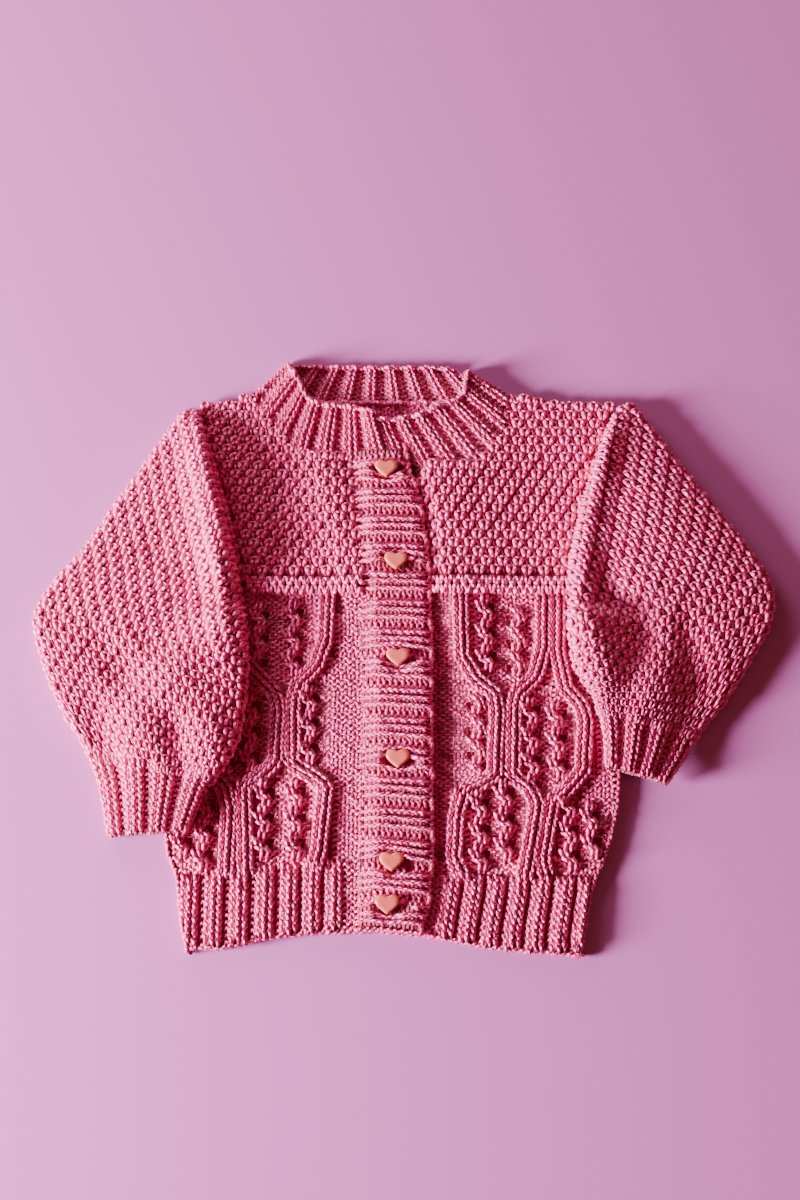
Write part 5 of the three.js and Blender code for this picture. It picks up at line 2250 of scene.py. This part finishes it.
@dataclass
class HeartButton:
    """A heart-shaped button with a soft rounded edge and a domed face, point towards the hem."""

    name: str
    middle: tuple[float, float]
    width: float = 12.2
    thick: float = 2.6
    steps: int = 56

    def outline(self) -> list[tuple[float, float]]:
        """Gives the heart's outline, in millimetres about its middle.

        Returns:
            Its points, from the notch round to the right.
        """
        a = np.linspace(0.0, 2.0 * math.pi, 721)
        lobe = 12.5 * np.cos(a) - 4.2 * np.cos(2 * a) - 1.8 * np.cos(3 * a) - 0.6 * np.cos(4 * a)
        curve = np.column_stack([-16.0 * np.sin(a) ** 3, lobe + 2.0]) * (self.width / 2 / 16)
        reach = reach_along(curve)
        points = read_line(np.linspace(0.0, reach[-1], self.steps, endpoint=False), reach, curve)
        for _ in range(8):
            points = 0.5 * points + 0.25 * (np.roll(points, 1, axis=0) + np.roll(points, -1, axis=0))
        return [(float(x), float(y)) for x, y in points]

    def make(self, wardrobe: Wardrobe) -> None:
        """Models the button from a disc: shaped to a heart, extruded, bevelled and domed.

        Args:
            wardrobe: The finishes.
        """
        bpy.ops.object.select_all(action="DESELECT")
        x, y = self.middle
        base = BAND_TOP + SEAM
        bpy.ops.mesh.primitive_circle_add(vertices=self.steps, radius=0.005, fill_type="NGON")
        piece = bpy.context.active_object
        piece.name = self.name + "_face"
        for vertex, (px, py) in zip(piece.data.vertices, self.outline()):
            place = np.array([px + x, py + y, base])
            vertex.co = Vector((place + SHIFT) * MM)
        bpy.ops.object.mode_set(mode="EDIT")
        bpy.ops.mesh.select_all(action="SELECT")
        reached = 1.0
        centre = Vector((np.array([x, y, base]) + SHIFT) * MM)
        for size, rise in ((1.0, self.thick - 0.9), (0.955, 0.45), (0.86, 0.3), (0.62, 0.15), (0.45, -0.05)):
            bpy.ops.mesh.extrude_region_move(TRANSFORM_OT_translate={"value": (0.0, 0.0, rise * MM)})
            shrink = size / reached
            bpy.ops.transform.resize(value=(shrink, shrink, 1.0), center_override=centre)
            reached = size
        bpy.ops.mesh.select_all(action="SELECT")
        bpy.ops.mesh.normals_make_consistent(inside=False)
        bpy.ops.object.mode_set(mode="OBJECT")
        round_off = piece.modifiers.new("round_off", "BEVEL")
        round_off.width = 0.35 * MM
        round_off.segments = 3
        round_off.limit_method = "ANGLE"
        round_off.angle_limit = math.radians(28)
        bpy.ops.object.modifier_apply(modifier="round_off")
        bpy.ops.object.shade_smooth_by_angle(angle=math.radians(50))
        dress(piece, self.name, wardrobe.button)


# Floor, light and camera.


@dataclass(frozen=True)
class Studio:
    """The plain pale floor, a soft window light from the left, and the camera."""

    floor: tuple[float, float, float] = (0.50, 0.135, 0.42)
    distance: float = 0.8333
    elevation: float = 72.0

    def build(self) -> None:
        """Makes the floor, the lights and the camera."""
        bpy.ops.object.select_all(action="DESELECT")
        bpy.ops.mesh.primitive_plane_add(size=8.0, location=(0.0, 0.0, 0.0))
        ground = bpy.context.active_object
        ground.name = "floor"
        ground.data.transform(ground.matrix_world)
        ground.matrix_world.identity()
        tree = NodeTree("pale_floor")
        tree.finish({"Base Color": (*self.floor, 1.0), "Roughness": 0.9, "Specular IOR Level": 0.2})
        ground.data.materials.append(tree.material)
        self._lamp("window", (-1.12, -0.34, 0.37), 0.36, 104.0, (1.0, 0.93, 0.98))
        self._lamp("sky", (-0.75, 0.95, 0.45), 0.7, 14.0, (1.0, 0.86, 0.88))
        world = bpy.data.worlds.new("room")
        bpy.context.scene.world = world
        world.use_nodes = True
        background = world.node_tree.nodes["Background"]
        background.inputs["Color"].default_value = (1.0, 0.42, 0.28, 1.0)
        background.inputs["Strength"].default_value = 0.24
        self._camera()

    @staticmethod
    def _lamp(name: str, place: tuple, size: float, power: float, colour: tuple) -> None:
        """Adds one square lamp that faces the garment.

        Args:
            name: Its name.
            place: Where it hangs.
            size: Its side.
            power: Its power in watts.
            colour: Its colour.
        """
        lamp = bpy.data.lights.new(name, "AREA")
        lamp.shape = "SQUARE"
        lamp.size = size
        lamp.energy = power
        lamp.color = colour
        holder = bpy.data.objects.new(name, lamp)
        holder.location = place
        holder.rotation_euler = (-Vector(place)).to_track_quat("-Z", "Y").to_euler()
        bpy.context.scene.collection.objects.link(holder)

    def _camera(self) -> None:
        """Places the camera at the photograph's angle and distance."""
        camera = bpy.data.cameras.new("camera")
        camera.lens = 50.0
        camera.sensor_width = 36.0
        camera.clip_end = 50.0
        holder = bpy.data.objects.new("camera", camera)
        up = math.radians(self.elevation)
        target = SHIFT * MM
        holder.location = (
            target[0],
            target[1] - self.distance * math.cos(up),
            self.distance * math.sin(up),
        )
        holder.rotation_euler = (math.pi / 2 - up, 0.0, 0.0)
        bpy.context.scene.collection.objects.link(holder)
        bpy.context.scene.camera = holder


# The garment's own tables.

RIGHT_CABLES = [
    Cable([
        (-140, 30), (-130, 25.5), (-109, 27), (-98.5, 30), (-95, 37.5), (-90, 45.5), (-58, 47.5), (-50, 46),
        (-42.5, 37), (-31, 30.5), (0, 30),
    ]),
    Cable([
        (-140, 58.5), (-116, 63.5), (-104, 65.5), (-96.5, 62), (-91, 54.5), (-58, 55.5), (-50, 57),
        (-41.5, 66), (-27, 70.5), (0, 71.5),
    ]),
    Cable([
        (-140, 69), (-130, 67.5), (-112, 71), (-103, 73), (-97.5, 80), (-88, 88), (-63, 90), (-55.5, 88),
        (-47.5, 81), (-30, 77.5), (0, 78.5),
    ]),
]
LEFT_CABLES = [
    Cable(
        [(-140, -82), (-107, -81.5), (-97, -84), (-90, -91), (-84, -94), (-60, -94), (-50, -92)],
        high=-52.0,
    ),
    Cable([
        (-140, -72.5), (-114, -74), (-96, -75), (-91, -67.5), (-84, -60), (-58, -59), (-50, -61),
        (-44, -66.5), (-36, -74), (-28, -80), (0, -84),
    ]),
    Cable([
        (-140, -42), (-127, -38.5), (-96, -35.5), (-90, -43), (-85, -51.5), (-54, -52), (-45, -49.5),
        (-36, -41), (-22, -36.5), (0, -36),
    ]),
]
RIGHT_LACES = [
    Lace(43.0, every(-6.0, -36.0)),
    Lace(57.0, every(-12.0, -40.0), gap=-2.7),
    Lace(37.0, every(-56.0, -88.0), gap=-2.7),
    Lace(64.0, every(-58.0, -96.0)),
    Lace(76.5, every(-60.0, -94.0)),
    Lace(38.5, every(-104.0, -134.0)),
    Lace(50.5, every(-99.0, -134.0)),
    Lace(81.0, every(-104.0, -134.0)),
    Lace(91.5, every(-110.0, -134.0)),
]
LEFT_LACES = [
    Lace(-69.0, every(-9.7, -36.0)),
    Lace(-52.0, every(-8.3, -36.0)),
    Lace(-72.0, every(-56.0, -84.0)),
    Lace(-84.0, every(-58.0, -84.0)),
    Lace(-43.5, every(-52.0, -80.0)),
    Lace(-64.5, every(-98.5, -128.0)),
    Lace(-49.5, every(-98.5, -128.0)),
    Lace(-93.0, every(-104.0, -132.0)),
    Lace(-103.0, every(-110.0, -132.0)),
]


NECK_MIDDLE = (-10.0, 110.0)
NECK_CLEAR = 1.2


def neck_points(rows: list[int]) -> list[tuple[float, float]]:
    """Gives points of a front's neck edge, clear of the neckband.

    Args:
        rows: Rows of the neckband's table.

    Returns:
        The points.
    """
    joins = np.array([NECK[row][:2] for row in rows], float)
    moved_out = joins + NECK_CLEAR * unit(joins - np.array(NECK_MIDDLE))
    return [(float(x), float(y)) for x, y in moved_out]


def main() -> None:
    """Builds the garment piece by piece, then the studio."""
    logging.basicConfig(level=logging.INFO, format="%(message)s")
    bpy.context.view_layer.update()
    wardrobe = Wardrobe(YarnFinish().material(), ClothFinish().material(), ButtonFinish().material())
    Back().make(wardrobe)
    Front(
        name="front_left",
        half=LEFT,
        centre=LEFT_CENTRE,
        cables=LEFT_CABLES,
        laces=LEFT_LACES,
        ribs=[-99.0, -87.6, -75.6, -63.4, -52.2, -41.6, -31.2],
        neck=neck_points([1, 2, 3, 4, 5]),
        creases=[Crease((-30, -120), (-34, -20), 0.5, 9.0)],
        flat=(96.0, 286.0),
        area=21500.0,
        bulge=2.2,
    ).make(wardrobe)
    Front(
        name="front_right",
        half=RIGHT,
        centre=RIGHT_CENTRE,
        cables=RIGHT_CABLES,
        laces=RIGHT_LACES,
        ribs=[24.6, 35.2, 45.8, 56.4, 67.0, 78.0, 88.5],
        lean=4.4,
        neck=[(8.0, 71.6), *neck_points([17, 16, 15, 14, 13])],
        creases=[Crease((20, -128), (20, -14), -1.1, 7.0)],
        flat=(96.0, 286.0),
        area=22000.0,
        bulge=3.0,
    ).make(wardrobe)
    Sleeve(
        name="sleeve_left",
        half=LEFT,
        creases=[
            Crease((-132, 20), (-112, 34), -2.2, 14.0),
            Crease((-148, -26), (-110, -70), -2.6, 9.0),
            Crease((-150, -52), (-141, -84), -2.0, 7.0),
            Crease((-109, -62), (-105, -86), -2.6, 6.0),
            Crease((-91, -64), (-89, -86), 2.6, 8.0),
            Crease((-127, -56), (-125, -86), 1.8, 8.0),
            Crease((-103, 86), (-88, 16), 11.0, 9.0),
            Crease((-90, 22), (-86, -6), 6.5, 8.0),
            Crease((-86, -4), (-83, -40), 3.2, 8.0),
        ],
        flat=(216.0, 235.0),
        area=34000.0,
    ).make(wardrobe)
    Sleeve(
        name="sleeve_right",
        half=RIGHT,
        creases=[
            Crease((92, 38), (88, -11), 5.6, 8.0),
            Crease((88, -11), (97, -46), 4.2, 8.0),
            Crease((100, 8), (117, -24), -3.0, 8.0),
            Crease((117, -24), (110, -52), -2.8, 8.0),
            Crease((130, -8), (126, -52), 1.8, 9.0),
            Crease((140, -17), (144, -46), -2.4, 8.0),
            Crease((105, 90), (94, 44), 6.0, 8.5),
        ],
        flat=(212.0, 215.0),
        area=33000.0,
    ).make(wardrobe)
    Neckband().make(wardrobe)
    ButtonBand().make(wardrobe)
    ButtonholeBand().make(wardrobe)
    for k, middle in enumerate(BUTTONS, start=1):
        HeartButton(f"button_{k}", middle).make(wardrobe)
    Studio().build()
    bpy.context.view_layer.update()


if __name__ == "__main__":
    main()
